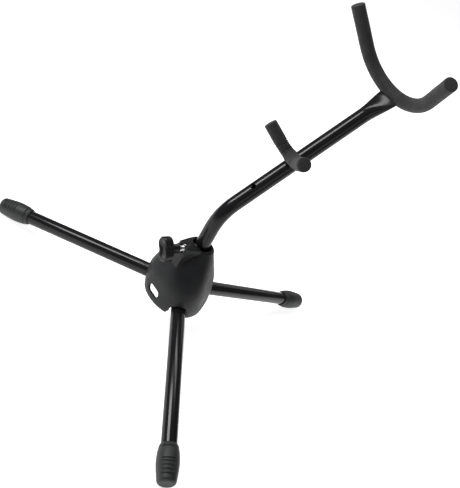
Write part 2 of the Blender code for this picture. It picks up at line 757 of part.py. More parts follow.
def build_yoke_rod():
    total = path_length(yoke_path())[-1]
    path = path_slice(yoke_path(), SLEEVE_END_WALL + GAP, total - SLEEVE_END_WALL - GAP)
    rings = swept_rings(path, yoke_plane_normal(), [YOKE_ROD_RADIUS] * len(path), ROD_SIDES)
    return as_node(loft("yoke_rod", rings), "bare_steel")


def build_yoke_sleeve():
    """A foam tube with closed ends, slit under the bend for the arm's flattened end."""
    path, radii = round_end_radii(yoke_path(), YOKE_SLEEVE_RADIUS, YOKE_END_ROUNDING, True, True)
    sleeve = loft("yoke_sleeve", swept_rings(path, yoke_plane_normal(), radii, SLEEVE_SIDES))
    total = path_length(yoke_path())[-1]
    channel = path_slice(yoke_path(), SLEEVE_END_WALL, total - SLEEVE_END_WALL)
    bore = [YOKE_ROD_RADIUS + GAP] * len(channel)
    channel_rings = swept_rings(channel, yoke_plane_normal(), bore, ROD_SIDES)
    boolean(sleeve, loft("yoke_sleeve_channel", channel_rings), "DIFFERENCE")
    half_width = FLARE_HALF_WIDTH + GAP
    half_slit = FLARE_HALF_THICKNESS + GAP
    corners = ((-1, -1), (1, -1), (1, 1), (-1, 1))
    outline = [(side * half_width, face * half_slit) for side, face in corners]
    slit = extruded("yoke_sleeve_slit", arm_frame(YOKE_AT), outline, YOKE_SLIT_START, YOKE_SLIT_END)
    boolean(sleeve, slit, "DIFFERENCE")
    return as_node(sleeve, "foam")


def arm_frame(along):
    """A frame on the leaning arm: Z runs along it and Y points to its upper side."""
    frame = Matrix((ACROSS, ARM_UPPER_SIDE, ARM_RUN)).transposed().to_4x4()
    frame.translation = ARM_CORNER + ARM_RUN * along
    return frame


# Peg fork


def peg_frame(along):
    """A frame on the arm whose Z axis points to the arm's upper side."""
    frame = Matrix((ARM_RUN, ACROSS, ARM_UPPER_SIDE)).transposed().to_4x4()
    frame.translation = ARM_CORNER + ARM_RUN * along
    return frame


# The fork stands turned a little on its spigot
PEG_ACROSS = math.cos(PEG_TWIST) * ACROSS + math.sin(PEG_TWIST) * ARM_RUN
PEG_NORMAL = math.cos(PEG_TWIST) * ARM_RUN - math.sin(PEG_TWIST) * ACROSS


def peg_path():
    origin = ARM_CORNER + ARM_RUN * PEG_AT + ARM_UPPER_SIDE * PEG_LIFT
    return planar_path(
        origin, PEG_ACROSS, ARM_UPPER_SIDE, PEG_BEND_RADIUS, PEG_HALF_ANGLE, PEG_PRONG, 6, 1
    )


def build_peg_rod():
    total = path_length(peg_path())[-1]
    path = path_slice(peg_path(), SLEEVE_END_WALL + GAP, total - SLEEVE_END_WALL - GAP)
    rings = swept_rings(path, PEG_NORMAL, [PEG_ROD_RADIUS] * len(path), ROD_SIDES)
    return as_node(loft("peg_fork_rod", rings), "bare_steel")


def build_peg_sleeve(side, start, end, round_start):
    """One foam sleeve of the fork: closed and rounded at its outer end, open where it meets the other."""
    name = "peg_sleeve_" + side
    outside = PEG_SLEEVE_RADII[side]
    whole = peg_path()
    total = path_length(whole)[-1]
    stretch = path_slice(whole, start, end)
    path, radii = round_end_radii(stretch, outside, PEG_END_ROUNDING, round_start, not round_start)
    sleeve = loft(name, swept_rings(path, PEG_NORMAL, radii, SLEEVE_SIDES))
    channel = path_slice(whole, SLEEVE_END_WALL, total - SLEEVE_END_WALL)
    bore = [PEG_ROD_RADIUS + GAP] * len(channel)
    channel_rings = swept_rings(channel, PEG_NORMAL, bore, ROD_SIDES)
    boolean(sleeve, loft(name + "_channel", channel_rings), "DIFFERENCE")
    return sleeve


def build_peg():
    total = path_length(peg_path())[-1]
    split = total / 2 + PEG_SLEEVE_SPLIT
    near = build_peg_sleeve("right", 0.0, split - GAP / 2, True)
    far = build_peg_sleeve("left", split + GAP / 2, total, False)
    spigot_top = PEG_LIFT - PEG_ROD_RADIUS - GAP
    hole = [(SPIGOT_RADIUS + GAP, ARM_RADIUS - 2 * MM), (SPIGOT_RADIUS + GAP, PEG_LIFT)]
    boolean(near, turned("peg_sleeve_spigot_hole", peg_frame(PEG_AT), hole), "DIFFERENCE")
    saddle = [(ARM_RADIUS + GAP, -PEG_SADDLE_REACH), (ARM_RADIUS + GAP, PEG_SADDLE_REACH)]
    for sleeve in (near, far):
        boolean(sleeve, turned(sleeve.name + "_saddle", arm_frame(PEG_AT), saddle), "DIFFERENCE")
    profile = [
        (SPIGOT_TIP_RADIUS, -SPIGOT_DEPTH),
        (SPIGOT_RADIUS, MM - SPIGOT_DEPTH),
        (SPIGOT_RADIUS, spigot_top),
    ]
    spigot = as_node(turned("peg_spigot", peg_frame(PEG_AT), profile), "bare_steel")
    return [build_peg_rod(), spigot, as_node(near, "foam"), as_node(far, "foam")]


# Clamp


def build_clamp_nut():
    outer = [circle(clamp_frame(), NUT_RADIUS, along, 6) for along in (NUT_START, NUT_END)]
    nut = loft("clamp_nut", outer)
    radius = SCREW_RADIUS + RUNNING_FIT
    thread = [(radius, NUT_START - MM), (radius, BOSS_END + MM)]
    boolean(nut, turned("clamp_nut_thread", clamp_frame(), thread), "DIFFERENCE")
    return as_node(nut, "bare_steel")


def build_clamp_pad():
    profile = [(PAD_RADIUS, PAD_FACE), (PAD_RADIUS, PAD_BACK)]
    return as_node(turned("clamp_pad", clamp_frame(), profile), "liner_plastic")


def build_clamp_screw():
    flange_end = SCREW_FLANGE + SCREW_FLANGE_THICKNESS
    profile = [
        (SCREW_RADIUS - SCREW_TIP_CHAMFER, SCREW_TIP),
        (SCREW_RADIUS, SCREW_TIP + SCREW_TIP_CHAMFER),
        (SCREW_RADIUS, SCREW_FLANGE),
        (SCREW_FLANGE_RADIUS, SCREW_FLANGE),
        (SCREW_FLANGE_RADIUS, flange_end),
        (SCREW_RADIUS, flange_end),
        (SCREW_RADIUS, SCREW_END),
    ]
    return as_node(turned("clamp_screw", clamp_frame(), profile), "bare_steel")


def knob_ring(along, radius, wing_reach):
    """One section of the knob: a circle, or two wings."""
    frame = clamp_frame()
    ring = []
    for i in range(KNOB_SIDES):
        turn = 2 * math.pi * i / KNOB_SIDES
        reach = radius + wing_reach * math.cos(2 * (turn - KNOB_TURN))
        ring.append(frame @ Vector((reach * math.cos(turn), reach * math.sin(turn), along)))
    return ring


def build_clamp_knob():
    """A winged knob with a collar, moulded on the screw."""
    collar = KNOB_COLLAR_RADIUS
    wing = KNOB_WING_REACH
    stations = (
        (KNOB_START, collar - KNOB_COLLAR_CHAMFER, 0.0),
        (KNOB_START + KNOB_COLLAR_CHAMFER, collar, 0.0),
        (KNOB_WINGS_START - 2.0 * MM, collar + 0.4 * MM, 0.0),
        (KNOB_WINGS_START, KNOB_RADIUS - 1.4 * MM, wing * 0.8),
        (KNOB_WINGS_START + 1.6 * MM, KNOB_RADIUS, wing),
        (KNOB_FACE - 2.4 * MM, KNOB_RADIUS, wing),
        (KNOB_FACE - 0.7 * MM, KNOB_RADIUS - 1.0 * MM, wing),
        (KNOB_FACE, KNOB_RADIUS - 2.6 * MM, wing * 0.8),
    )
    knob = loft("clamp_knob", [knob_ring(*station) for station in stations])
    bore = [(SCREW_RADIUS + GAP, KNOB_START - MM), (SCREW_RADIUS + GAP, SCREW_END + GAP)]
    boolean(knob, turned("clamp_knob_bore", clamp_frame(), bore), "DIFFERENCE")
    return as_node(knob, "black_plastic")


def main():
    clear_scene()
    build_hub()
    build_legs()
    bush = build_guide_bush()
    arm = [build_arm_tube(), build_arm_plug(), build_yoke_rod(), build_yoke_sleeve()]
    peg = build_peg()
    build_clamp_nut()
    pad = build_clamp_pad()
    knob = [build_clamp_screw(), build_clamp_knob()]
    attach([bush], joint_empty("arm_turn_axis", Vector((0, 0, BUSH_BOTTOM))))
    attach(arm, joint_empty("arm_slide_axis", Vector((0, 0, ARM_FOOT_HEIGHT))))
    attach(peg, joint_empty("peg_slide_axis", ARM_CORNER + ARM_RUN * PEG_AT))
    clamp_axis = Vector((-SCREW_TIP, 0, CLAMP_HEIGHT))
    attach([pad], joint_empty("clamp_pad_axis", clamp_axis))
    attach(knob, joint_empty("clamp_screw_axis", clamp_axis))


main()
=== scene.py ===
"""Folding saxophone stand: its visible pieces, their materials, the floor, the lights and the camera.

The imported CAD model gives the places. The tubes, the moulded hub, the feet, the foam and the clamp are
made again here at a finer grain. The rest of the CAD pieces keep their shape and get new materials.
Everything is in metres. Shapes are drawn in the hub's frame, whose origin is the point where the three leg
axes and the arm's axis meet.
"""

import json
import math

import bmesh
import bpy
from mathutils import Matrix, Vector, noise


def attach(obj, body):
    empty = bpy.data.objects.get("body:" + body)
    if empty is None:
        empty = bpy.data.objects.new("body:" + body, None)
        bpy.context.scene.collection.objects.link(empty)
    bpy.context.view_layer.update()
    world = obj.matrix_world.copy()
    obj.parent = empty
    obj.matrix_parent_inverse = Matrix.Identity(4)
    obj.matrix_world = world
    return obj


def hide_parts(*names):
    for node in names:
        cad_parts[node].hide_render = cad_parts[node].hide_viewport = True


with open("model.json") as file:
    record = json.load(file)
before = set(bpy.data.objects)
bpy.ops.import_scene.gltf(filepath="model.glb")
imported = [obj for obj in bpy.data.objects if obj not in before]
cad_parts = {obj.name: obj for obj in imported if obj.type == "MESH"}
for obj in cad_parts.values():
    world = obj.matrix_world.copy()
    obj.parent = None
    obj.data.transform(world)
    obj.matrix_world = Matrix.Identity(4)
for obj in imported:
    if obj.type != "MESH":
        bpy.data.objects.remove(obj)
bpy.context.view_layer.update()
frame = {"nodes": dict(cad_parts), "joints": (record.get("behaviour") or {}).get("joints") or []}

MM = 0.001
JOINTS = {joint["name"]: joint for joint in frame["joints"]}

# The arm turns in the hub 14 mm above the hub's origin
HUB = Vector(JOINTS["arm_turn"]["pos_m"]) - Vector((0.0, 0.0, 14.0 * MM))
FLOOR = -HUB.z
GAP = 0.3 * MM
RUNNING_FIT = 0.1 * MM

LEG_AZIMUTHS = {"right": 0.0, "left": 120.0, "front": -120.0}
LEG_DROOP = math.radians(13.0)
LEG_RADIUS = 8.0 * MM
LEG_WALL = 1.2 * MM
LEG_START = 14.0 * MM
LEG_PIVOT = 21.0 * MM
LEG_END = 224.5 * MM
EDGE_ROUNDING = 0.35 * MM

FOOT_MOUTH = 197.3 * MM
FOOT_TIP = 237.0 * MM
FOOT_RADIUS = 11.5 * MM
FOOT_LIP_RADIUS = 8.9 * MM
FOOT_SWELL_LENGTH = 17.5 * MM
FOOT_SWELL_POWER = 0.75
FOOT_TAPER = 1.7 * MM
FOOT_TAPER_POWER = 1.5
FOOT_NOSE_LENGTH = 4.5 * MM
FOOT_NOSE_POWER = 2.2
FOOT_FLAT_RADIUS = 5.6 * MM
FOOT_COLLAR_AT = 4.6 * MM
FOOT_COLLAR_DEPTH = 0.8 * MM
FOOT_COLLAR_WIDTH = 0.8 * MM
FOOT_RIBS_AT = 216.5 * MM
FOOT_RIB_PITCH = 4.0 * MM
FOOT_RIB_COUNT = 4
FOOT_RIB_DEPTH = 0.9 * MM
FOOT_RIB_ANGLE = math.radians(31.0)
FOOT_RIB_FADE = math.radians(10.0)
FOOT_RING_STEP = 0.25 * MM
FOOT_NOSE_STEPS = 24
FOOT_SIDES = 128
# How far each foot's ribbed panel is turned from the leg's upper side
FOOT_PANEL_TURNS = {"right": 0.0, "left": math.radians(34.0), "front": math.radians(-18.0)}

RIVET_RADIUS = 2.4 * MM
RIVET_HEAD_RADIUS = 4.0 * MM
RIVET_HEAD_THICKNESS = 1.6 * MM
RIVET_HEAD_EDGE = 0.25 * MM
RIVET_HEAD_RELIEF = 0.15 * MM

HUB_WALL = 2.8 * MM
RIM_HEIGHT = 58.5 * MM
SKIRT_BOTTOM = -18.0 * MM
CAVITY_TOP = 44.0 * MM
CHEEK_INNER = 8.6 * MM
CHEEK_OUTER = 10.8 * MM
CHEEK_INNER_REACH = 12.0 * MM
CHEEK_KNEE = (14.0 * MM, -10.0 * MM)
CHEEK_TOE = (29.0 * MM, -16.0 * MM)
CHEEK_WALL_REACH = 34.0 * MM
CHEEK_SINK = 2.4 * MM
CHEEK_TOP = 46.0 * MM
SLOT_HALF_WIDTH = 11.0 * MM
SLOT_TOP_CLEARANCE = 0.4 * MM
SLOT_START = 35.0 * MM
SLOT_END = 60.0 * MM
SLOT_DROP = 70.0 * MM
WINDOW_LENGTH = 18.2 * MM
WINDOW_HEIGHT = 8.2 * MM
WINDOW_CENTRE = -6.8 * MM
WINDOW_CUT = (24.0 * MM, 46.0 * MM)
HUB_SIDES = 144
HUB_VOXEL = 0.6 * MM
HUB_SMOOTH_PASSES = 5

# Levels of the hub's outside, in mm: height, mean radius, reach over the legs, shift towards the clamp
HUB_LEVELS = (
    (-18.0, 35.2, 0.8, 0.0),
    (-13.0, 36.4, 1.6, 0.0),
    (-6.0, 37.3, 2.6, 0.0),
    (2.0, 37.1, 3.5, 0.7),
    (10.0, 36.2, 3.8, 1.6),
    (18.0, 34.1, 3.8, 1.9),
    (26.0, 31.0, 3.2, 1.9),
    (34.0, 27.2, 2.2, 1.6),
    (44.0, 21.9, 1.0, 0.9),
    (55.5, 15.7, 0.0, 0.2),
    (57.5, 14.8, 0.0, 0.0),
    (58.5, 13.4, 0.0, 0.0),
)

SOCKET_RADIUS = 13.2 * MM
SOCKET_BORE = 10.6 * MM
SOCKET_FLOOR = 7.5 * MM
SOCKET_LIP_TOP = 9.5 * MM
SOCKET_LIP_RADIUS = 6.2 * MM
SOCKET_LIP_CLEARANCE = 0.25 * MM
SOCKET_COLUMN_TOP = 50.0 * MM
BUSH_BOTTOM = 14.0 * MM
MOUTH_CHAMFER = 0.8 * MM
MOUTH_CHAMFER_DEPTH = 1.1 * MM

BOSS_START = 9.0 * MM
BOSS_END = 27.0 * MM
BOSS_TOP = 60.3 * MM
BOSS_HIGHEST_BOTTOM = 48.0 * MM
BOSS_SINK = 1.5 * MM
BOSS_ROOT_HALF_WIDTH = 12.0 * MM
BOSS_END_HALF_WIDTH = 7.4 * MM
BOSS_KEEL_SHARE = 0.8
BOSS_CHAMFER = 0.9 * MM
CLAMP_HEIGHT = 55.0 * MM
PAD_RADIUS = 3.9 * MM
PAD_FACE = 8.4 * MM
PAD_BORE_END = 16.2 * MM
NUT_START = 18.5 * MM
NUT_RADIUS = 5.2 * MM
SCREW_RADIUS = 3.0 * MM
SCREW_TIP = 12.5 * MM
SCREW_PITCH = 1.0 * MM
SCREW_THREAD_DEPTH = 0.45 * MM
SCREW_THREAD_STEP = 0.1 * MM
SCREW_THREAD_FADE = 0.6 * MM
SCREW_TIP_TAPER = 0.6 * MM
SCREW_FLANGE = 30.0 * MM
SCREW_FLANGE_END = 32.0 * MM
SCREW_FLANGE_RADIUS = 4.2 * MM
SCREW_FLANGE_EDGE = 0.3 * MM
SCREW_END = 44.0 * MM
KNOB_START = 32.4 * MM
KNOB_COLLAR_END = 39.8 * MM
KNOB_SPREAD_START = 40.2 * MM
KNOB_SPREAD_LENGTH = 3.2 * MM
KNOB_FLANK_END = 48.0 * MM
KNOB_FACE = 53.0 * MM
KNOB_SIDES = 128
KNOB_RADIUS = 9.8 * MM
KNOB_WING_REACH = 3.6 * MM
KNOB_TURN = math.radians(41.0)
KNOB_COLLAR_RADIUS = 5.2 * MM
KNOB_COLLAR_EDGE = 0.6 * MM
KNOB_ROOT_RADIUS = 5.5 * MM
KNOB_EDGE = 2.0 * MM
KNOB_DISH_DEPTH = 2.6 * MM

ARM_RADIUS = 8.25 * MM
ARM_WALL = 1.4 * MM
ARM_FOOT_HEIGHT = 9.8 * MM
ARM_CORNER = Vector((0.0, 0.0, 102.0 * MM))
ARM_LEAN = math.radians(43.0)
ARM_BEND_TANGENT = 20.0 * MM
ARM_RUN = Vector((math.sin(ARM_LEAN), 0.0, math.cos(ARM_LEAN)))
ARM_UPPER_SIDE = Vector((-math.cos(ARM_LEAN), 0.0, math.sin(ARM_LEAN)))
ARM_SIDES = 96
ARM_STEP = 12.0 * MM
ARM_CURVE_STEPS = 32
ACROSS = Vector((0.0, 1.0, 0.0))
SPARE_HOLE_AT = 45.0 * MM
PEG_AT = 95.0 * MM
FLARE_START = 186.0 * MM
YOKE_AT = 228.0 * MM
FLARE_HALF_WIDTH = 13.5 * MM
FLARE_HALF_THICKNESS = 2.0 * MM

YOKE_PLANE = math.radians(123.0)
YOKE_BEND_RADIUS = 59.0 * MM
YOKE_HALF_ANGLE = math.radians(60.7)
YOKE_PRONG = 46.3 * MM
YOKE_ROD_RADIUS = 4.0 * MM
YOKE_SLEEVE_RADIUS = 7.7 * MM
YOKE_SLIT = (-14.0 * MM, -1.0 * MM)
YOKE_STEP = 1.0 * MM
YOKE_ROUNDING = 1.2 * MM
SLEEVE_END_WALL = 2.0 * MM
SLEEVE_STEP = 0.9 * MM
SLEEVE_SIDES = 64
SLEEVE_SHARP_ANGLE = 60.0

PEG_LIFT = 13.4 * MM
PEG_BEND_RADIUS = 27.0 * MM
PEG_HALF_ANGLE = math.radians(46.0)
PEG_PRONG = 21.0 * MM
PEG_ROD_RADIUS = 3.2 * MM
PEG_SLEEVE_RADII = {"right": 7.7 * MM, "left": 7.2 * MM}
PEG_TWIST = math.radians(3.0)
PEG_ACROSS = math.cos(PEG_TWIST) * ACROSS + math.sin(PEG_TWIST) * ARM_RUN
PEG_NORMAL = math.cos(PEG_TWIST) * ARM_RUN - math.sin(PEG_TWIST) * ACROSS
PEG_SPLIT = 3.5 * MM
PEG_STEP = 0.7 * MM
PEG_SADDLE_REACH = 14.0 * MM
WRINKLE_START = 4.0 * MM
WRINKLE_PITCH = 2.8 * MM
WRINKLE_COUNT = 5
WRINKLE_WIDTH = 0.9 * MM
WRINKLE_DEPTH = 1.3 * MM
SPIGOT_RADIUS = 3.0 * MM
SPIGOT_DEPTH = 11.0 * MM
SPIGOT_TOP = 9.9 * MM
SPIGOT_TIP_RADIUS = 0.4 * MM
PEG_HOLE_RADIUS = SPIGOT_RADIUS + RUNNING_FIT
PEG_HOLE_REACH = 12.0 * MM
SPIGOT_ROUNDING = 0.9 * MM

# How far the floor lies below the feet, how much light it gives, and the point the softboxes face
FLOOR_DROP = 0.2 * MM
FLOOR_GLOW = 0.84
LIGHT_TARGET = Vector((0.0, 0.0, 0.12))

# Softboxes: direction from the target, distance, width, height, roll in degrees and power
SOFTBOXES = {
    "key_softbox": ((-0.51, 0.40, 0.76), 1.6, 0.48, 0.86, 0.0, 18.5),
    "overhead_softbox": ((0.12, 0.30, 0.94), 1.5, 0.95, 0.22, -27.0, 5.6),
    "fill_softbox": ((-0.05, -0.92, 0.39), 1.8, 0.80, 0.30, 0.0, 1.4),
    "side_softbox": ((0.84, 0.36, 0.40), 1.9, 1.20, 0.90, 0.0, 2.8),
}

# The camera's place from the hub, its axes, and its lens and sensor in mm
CAMERA_FROM_HUB = Vector((-0.58096, -0.48146, 0.52212))
CAMERA_RIGHT = Vector((0.73129, -0.52297, 0.43787))
CAMERA_UP = Vector((0.03508, 0.66995, 0.74157))
CAMERA_LENS = 60.657
CAMERA_SENSOR = 36.0


# Meshes


def finished_object(name, mesh, sharp_angle=35.0):
    """An object at the hub from a bmesh, smooth apart from its sharp edges."""
    bmesh.ops.recalc_face_normals(mesh, faces=mesh.faces)
    data = bpy.data.meshes.new(name)
    mesh.to_mesh(data)
    mesh.free()
    data.transform(Matrix.Translation(HUB))
    data.shade_smooth()
    data.set_sharp_from_angle(angle=math.radians(sharp_angle))
    obj = bpy.data.objects.new(name, data)
    bpy.context.scene.collection.objects.link(obj)
    return obj


def skin(name, rings, closed=False, sharp_angle=35.0):
    """A skin over rings of equally many points, capped at both ends or closed into a loop."""
    mesh = bmesh.new()
    loops = [[mesh.verts.new(point) for point in ring] for ring in rings]
    following = loops[1:] + ([loops[0]] if closed else [])
    for first, second in zip(loops, following):
        count = len(first)
        for i in range(count):
            j = (i + 1) % count
            mesh.faces.new((first[i], first[j], second[j], second[i]))
    if not closed:
        mesh.faces.new(loops[0][::-1])
        mesh.faces.new(loops[-1])
    return finished_object(name, mesh, sharp_angle)


def circle(about, radius, along, sides):
    """Points of a circle about a frame's Z axis."""
    turns = (2 * math.pi * i / sides for i in range(sides))
    return [about @ Vector((radius * math.cos(t), radius * math.sin(t), along)) for t in turns]


def turned(name, about, profile, sides=64, closed=False, sharp_angle=35.0):
    """A turned piece about a frame's Z axis, from (radius, distance along) pairs."""
    rings = [circle(about, radius, along, sides) for radius, along in profile]
    return skin(name, rings, closed, sharp_angle)


def cylinder(name, about, radius, start, end, sides=64):
    """A plain cylinder about a frame's Z axis, as a tool for a cut or a join."""
    return turned(name, about, [(radius, start), (radius, end)], sides)


def extruded(name, about, outline, start, end):
    """An outline in a frame's XY plane, extruded along its Z axis."""
    return skin(name, [[about @ Vector((x, y, along)) for x, y in outline] for along in (start, end)])


def tube_profile(outer, inner, start, end, rounding=EDGE_ROUNDING):
    """The closed profile of a tube whose outer edges are rounded."""
    profile = []
    for i in range(4):
        turn = 0.5 * math.pi * i / 3
        profile.append((outer - rounding * (1 - math.sin(turn)), start + rounding * (1 - math.cos(turn))))
    for i in range(4):
        turn = 0.5 * math.pi * i / 3
        profile.append((outer - rounding * (1 - math.cos(turn)), end - rounding * (1 - math.sin(turn))))
    return profile + [(inner, end), (inner, start)]


def boolean(target, tool, operation):
    """Cut away or join on a tool, then remove the tool."""
    modifier = target.modifiers.new("boolean", "BOOLEAN")
    modifier.operation = operation
    modifier.solver = "EXACT"
    modifier.object = tool
    apply_modifiers(target)
    bpy.data.objects.remove(tool)


def apply_modifiers(obj):
    """Replace an object's mesh by the mesh its modifiers make."""
    graph = bpy.context.evaluated_depsgraph_get()
    made = bpy.data.meshes.new_from_object(obj.evaluated_get(graph))
    obj.modifiers.clear()
    old = obj.data
    obj.data = made
    bpy.data.meshes.remove(old)


def cut(target, *tools):
    """Cut tools from a target, in order."""
    for tool in tools:
        boolean(target, tool, "DIFFERENCE")


def resharpen(obj, angle=35.0):
    """Smooth shading apart from edges sharper than an angle, after a cut."""
    obj.data.shade_smooth()
    obj.data.set_sharp_from_angle(angle=math.radians(angle))


def between(value, low, high):
    return min(max(value, low), high)


def ease(share):
    """0 to 1 with level ends."""
    share = between(share, 0.0, 1.0)
    return share * share * (3 - 2 * share)


def bump(distance, width):
    """1 at no distance, falling smoothly to 0 at a width."""
    return ease(1 - abs(distance) / width)


def levels_between(start, end, step):
    """Even places from start to end, no further apart than step."""
    count = max(1, math.ceil((end - start) / step))
    return [start + (end - start) * i / count for i in range(count + 1)]


# Frames


def leg_frame(azimuth_degrees):
    """A frame whose Z axis runs out along a leg, and whose -X axis points up from it."""
    about_z = Matrix.Rotation(math.radians(azimuth_degrees), 4, "Z")
    return about_z @ Matrix.Rotation(math.pi / 2 + LEG_DROOP, 4, "Y")


def pivot_frame(azimuth_degrees):
    """A frame on a leg's pivot whose Z axis is the pivot's axis."""
    pivot = leg_frame(azimuth_degrees) @ Vector((0, 0, LEG_PIVOT))
    about_z = Matrix.Rotation(math.radians(azimuth_degrees), 4, "Z")
    return Matrix.Translation(pivot) @ about_z @ Matrix.Rotation(-math.pi / 2, 4, "X")


def clamp_frame():
    """A frame on the clamp screw whose Z axis points away from the arm, along -X."""
    return Matrix.Translation((0, 0, CLAMP_HEIGHT)) @ Matrix.Rotation(-math.pi / 2, 4, "Y")


def arm_frame(along):
    """A frame on the leaning arm: Z runs along it and Y points to its upper side."""
    made = Matrix((ACROSS, ARM_UPPER_SIDE, ARM_RUN)).transposed().to_4x4()
    made.translation = ARM_CORNER + ARM_RUN * along
    return made


def peg_frame(along):
    """A frame on the leaning arm whose Z axis points to the arm's upper side."""
    made = Matrix((ARM_RUN, ACROSS, ARM_UPPER_SIDE)).transposed().to_4x4()
    made.translation = ARM_CORNER + ARM_RUN * along
    return made


# Materials

# The colour sockets of Blender's Mix node, by index, since its value and colour sockets share their names
MIX_FACTOR = 0
MIX_FIRST = 6
MIX_SECOND = 7
MIX_RESULT = 2


def new_material(name, colour, roughness, metallic=0.0):
    """A Principled material, its node tree and its shader."""
    material = bpy.data.materials.new(name)
    material.use_nodes = True
    tree = material.node_tree
    shader = tree.nodes["Principled BSDF"]
    shader.inputs["Base Color"].default_value = (*colour, 1.0)
    shader.inputs["Roughness"].default_value = roughness
    shader.inputs["Metallic"].default_value = metallic
    return material, tree, shader


def add_noise(tree, scale, detail=3.0, stretch=(1.0, 1.0, 1.0)):
    """A noise in the object's own coordinates; scale is in features a metre."""
    coordinates = tree.nodes.new("ShaderNodeTexCoord")
    mapping = tree.nodes.new("ShaderNodeMapping")
    mapping.inputs["Scale"].default_value = stretch
    texture = tree.nodes.new("ShaderNodeTexNoise")
    texture.inputs["Scale"].default_value = scale
    texture.inputs["Detail"].default_value = detail
    tree.links.new(coordinates.outputs["Object"], mapping.inputs["Vector"])
    tree.links.new(mapping.outputs["Vector"], texture.inputs["Vector"])
    return texture.outputs["Fac"]


def add_cells(tree, scale):
    """Distances inside Voronoi cells in the object's own coordinates."""
    coordinates = tree.nodes.new("ShaderNodeTexCoord")
    texture = tree.nodes.new("ShaderNodeTexVoronoi")
    texture.inputs["Scale"].default_value = scale
    tree.links.new(coordinates.outputs["Object"], texture.inputs["Vector"])
    return texture.outputs["Distance"]


def ranged(tree, source, from_range, to_range):
    """A value moved from one range to another."""
    node = tree.nodes.new("ShaderNodeMapRange")
    node.inputs["From Min"].default_value, node.inputs["From Max"].default_value = from_range
    node.inputs["To Min"].default_value, node.inputs["To Max"].default_value = to_range
    tree.links.new(source, node.inputs["Value"])
    return node.outputs["Result"]


def blended_colours(tree, factor, first, second):
    """A colour between two, by a factor."""
    node = tree.nodes.new("ShaderNodeMix")
    node.data_type = "RGBA"
    node.inputs[MIX_FIRST].default_value = (*first, 1.0)
    node.inputs[MIX_SECOND].default_value = (*second, 1.0)
    tree.links.new(factor, node.inputs[MIX_FACTOR])
    return node.outputs[MIX_RESULT]


def add_bump(tree, shader, heights):
    """Stack bumps on the shader: (height socket, strength, distance in metres) each."""
    normal = None
    for height, strength, distance in heights:
        node = tree.nodes.new("ShaderNodeBump")
        node.inputs["Strength"].default_value = strength
        node.inputs["Distance"].default_value = distance
        tree.links.new(height, node.inputs["Height"])
        if normal is not None:
            tree.links.new(normal, node.inputs["Normal"])
        normal = node.outputs["Normal"]
    tree.links.new(normal, shader.inputs["Normal"])


def floor_dust(tree):
    """1 where a piece rests on the floor, fading out a few millimetres up."""
    coordinates = tree.nodes.new("ShaderNodeTexCoord")
    parts = tree.nodes.new("ShaderNodeSeparateXYZ")
    tree.links.new(coordinates.outputs["Object"], parts.inputs["Vector"])
    return ranged(tree, parts.outputs["Z"], (0.0, 5.0 * MM), (1.0, 0.0))


def black_enamel():
    """Gloss black paint on steel tube, with a faint orange peel and an uneven gloss."""
    material, tree, shader = new_material("black_enamel_paint", (0.010, 0.010, 0.011), 0.2)
    patches = add_noise(tree, 45.0)
    specks = add_noise(tree, 900.0, 2.0)
    tint = blended_colours(tree, patches, (0.0085, 0.0085, 0.0100), (0.0125, 0.0120, 0.0125))
    tree.links.new(tint, shader.inputs["Base Color"])
    tree.links.new(ranged(tree, patches, (0.3, 0.7), (0.13, 0.20)), shader.inputs["Roughness"])
    shader.inputs["Specular IOR Level"].default_value = 0.25
    peel = add_noise(tree, 130.0, 1.0)
    add_bump(tree, shader, ((peel, 0.04, 0.05 * MM), (specks, 0.01, 0.01 * MM)))
    return material


def moulded_plastic(name, dark, light, roughness, grain=0.35):
    """Moulded plastic with a fine spark-eroded grain and a slow change of shade."""
    material, tree, shader = new_material(name, dark, roughness)
    patches = add_noise(tree, 30.0)
    grain_noise = add_noise(tree, 1500.0, 4.0)
    mottle = add_noise(tree, 260.0, 3.0)
    tree.links.new(blended_colours(tree, patches, dark, light), shader.inputs["Base Color"])
    varied = ranged(tree, mottle, (0.25, 0.75), (roughness - 0.06, roughness + 0.08))
    tree.links.new(varied, shader.inputs["Roughness"])
    shader.inputs["Specular IOR Level"].default_value = 0.29
    add_bump(tree, shader, ((mottle, 0.12, 0.10 * MM), (grain_noise, grain, 0.10 * MM)))
    return material


def foot_rubber():
    """Dull moulded rubber, paler with dust where it meets the floor."""
    material, tree, shader = new_material("foot_rubber_mould", (0.030, 0.031, 0.032), 0.62)
    patches = add_noise(tree, 60.0)
    fine = add_noise(tree, 1100.0, 4.0)
    worn = blended_colours(tree, patches, (0.014, 0.015, 0.0155), (0.022, 0.023, 0.024))
    dusty = tree.nodes.new("ShaderNodeMix")
    dusty.data_type = "RGBA"
    tree.links.new(floor_dust(tree), dusty.inputs[MIX_FACTOR])
    tree.links.new(worn, dusty.inputs[MIX_FIRST])
    dusty.inputs[MIX_SECOND].default_value = (0.045, 0.044, 0.042, 1.0)
    tree.links.new(dusty.outputs[MIX_RESULT], shader.inputs["Base Color"])
    tree.links.new(ranged(tree, fine, (0.3, 0.7), (0.46, 0.62)), shader.inputs["Roughness"])
    shader.inputs["Specular IOR Level"].default_value = 0.45
    add_bump(tree, shader, ((patches, 0.40, 0.25 * MM), (fine, 0.70, 0.09 * MM)))
    return material


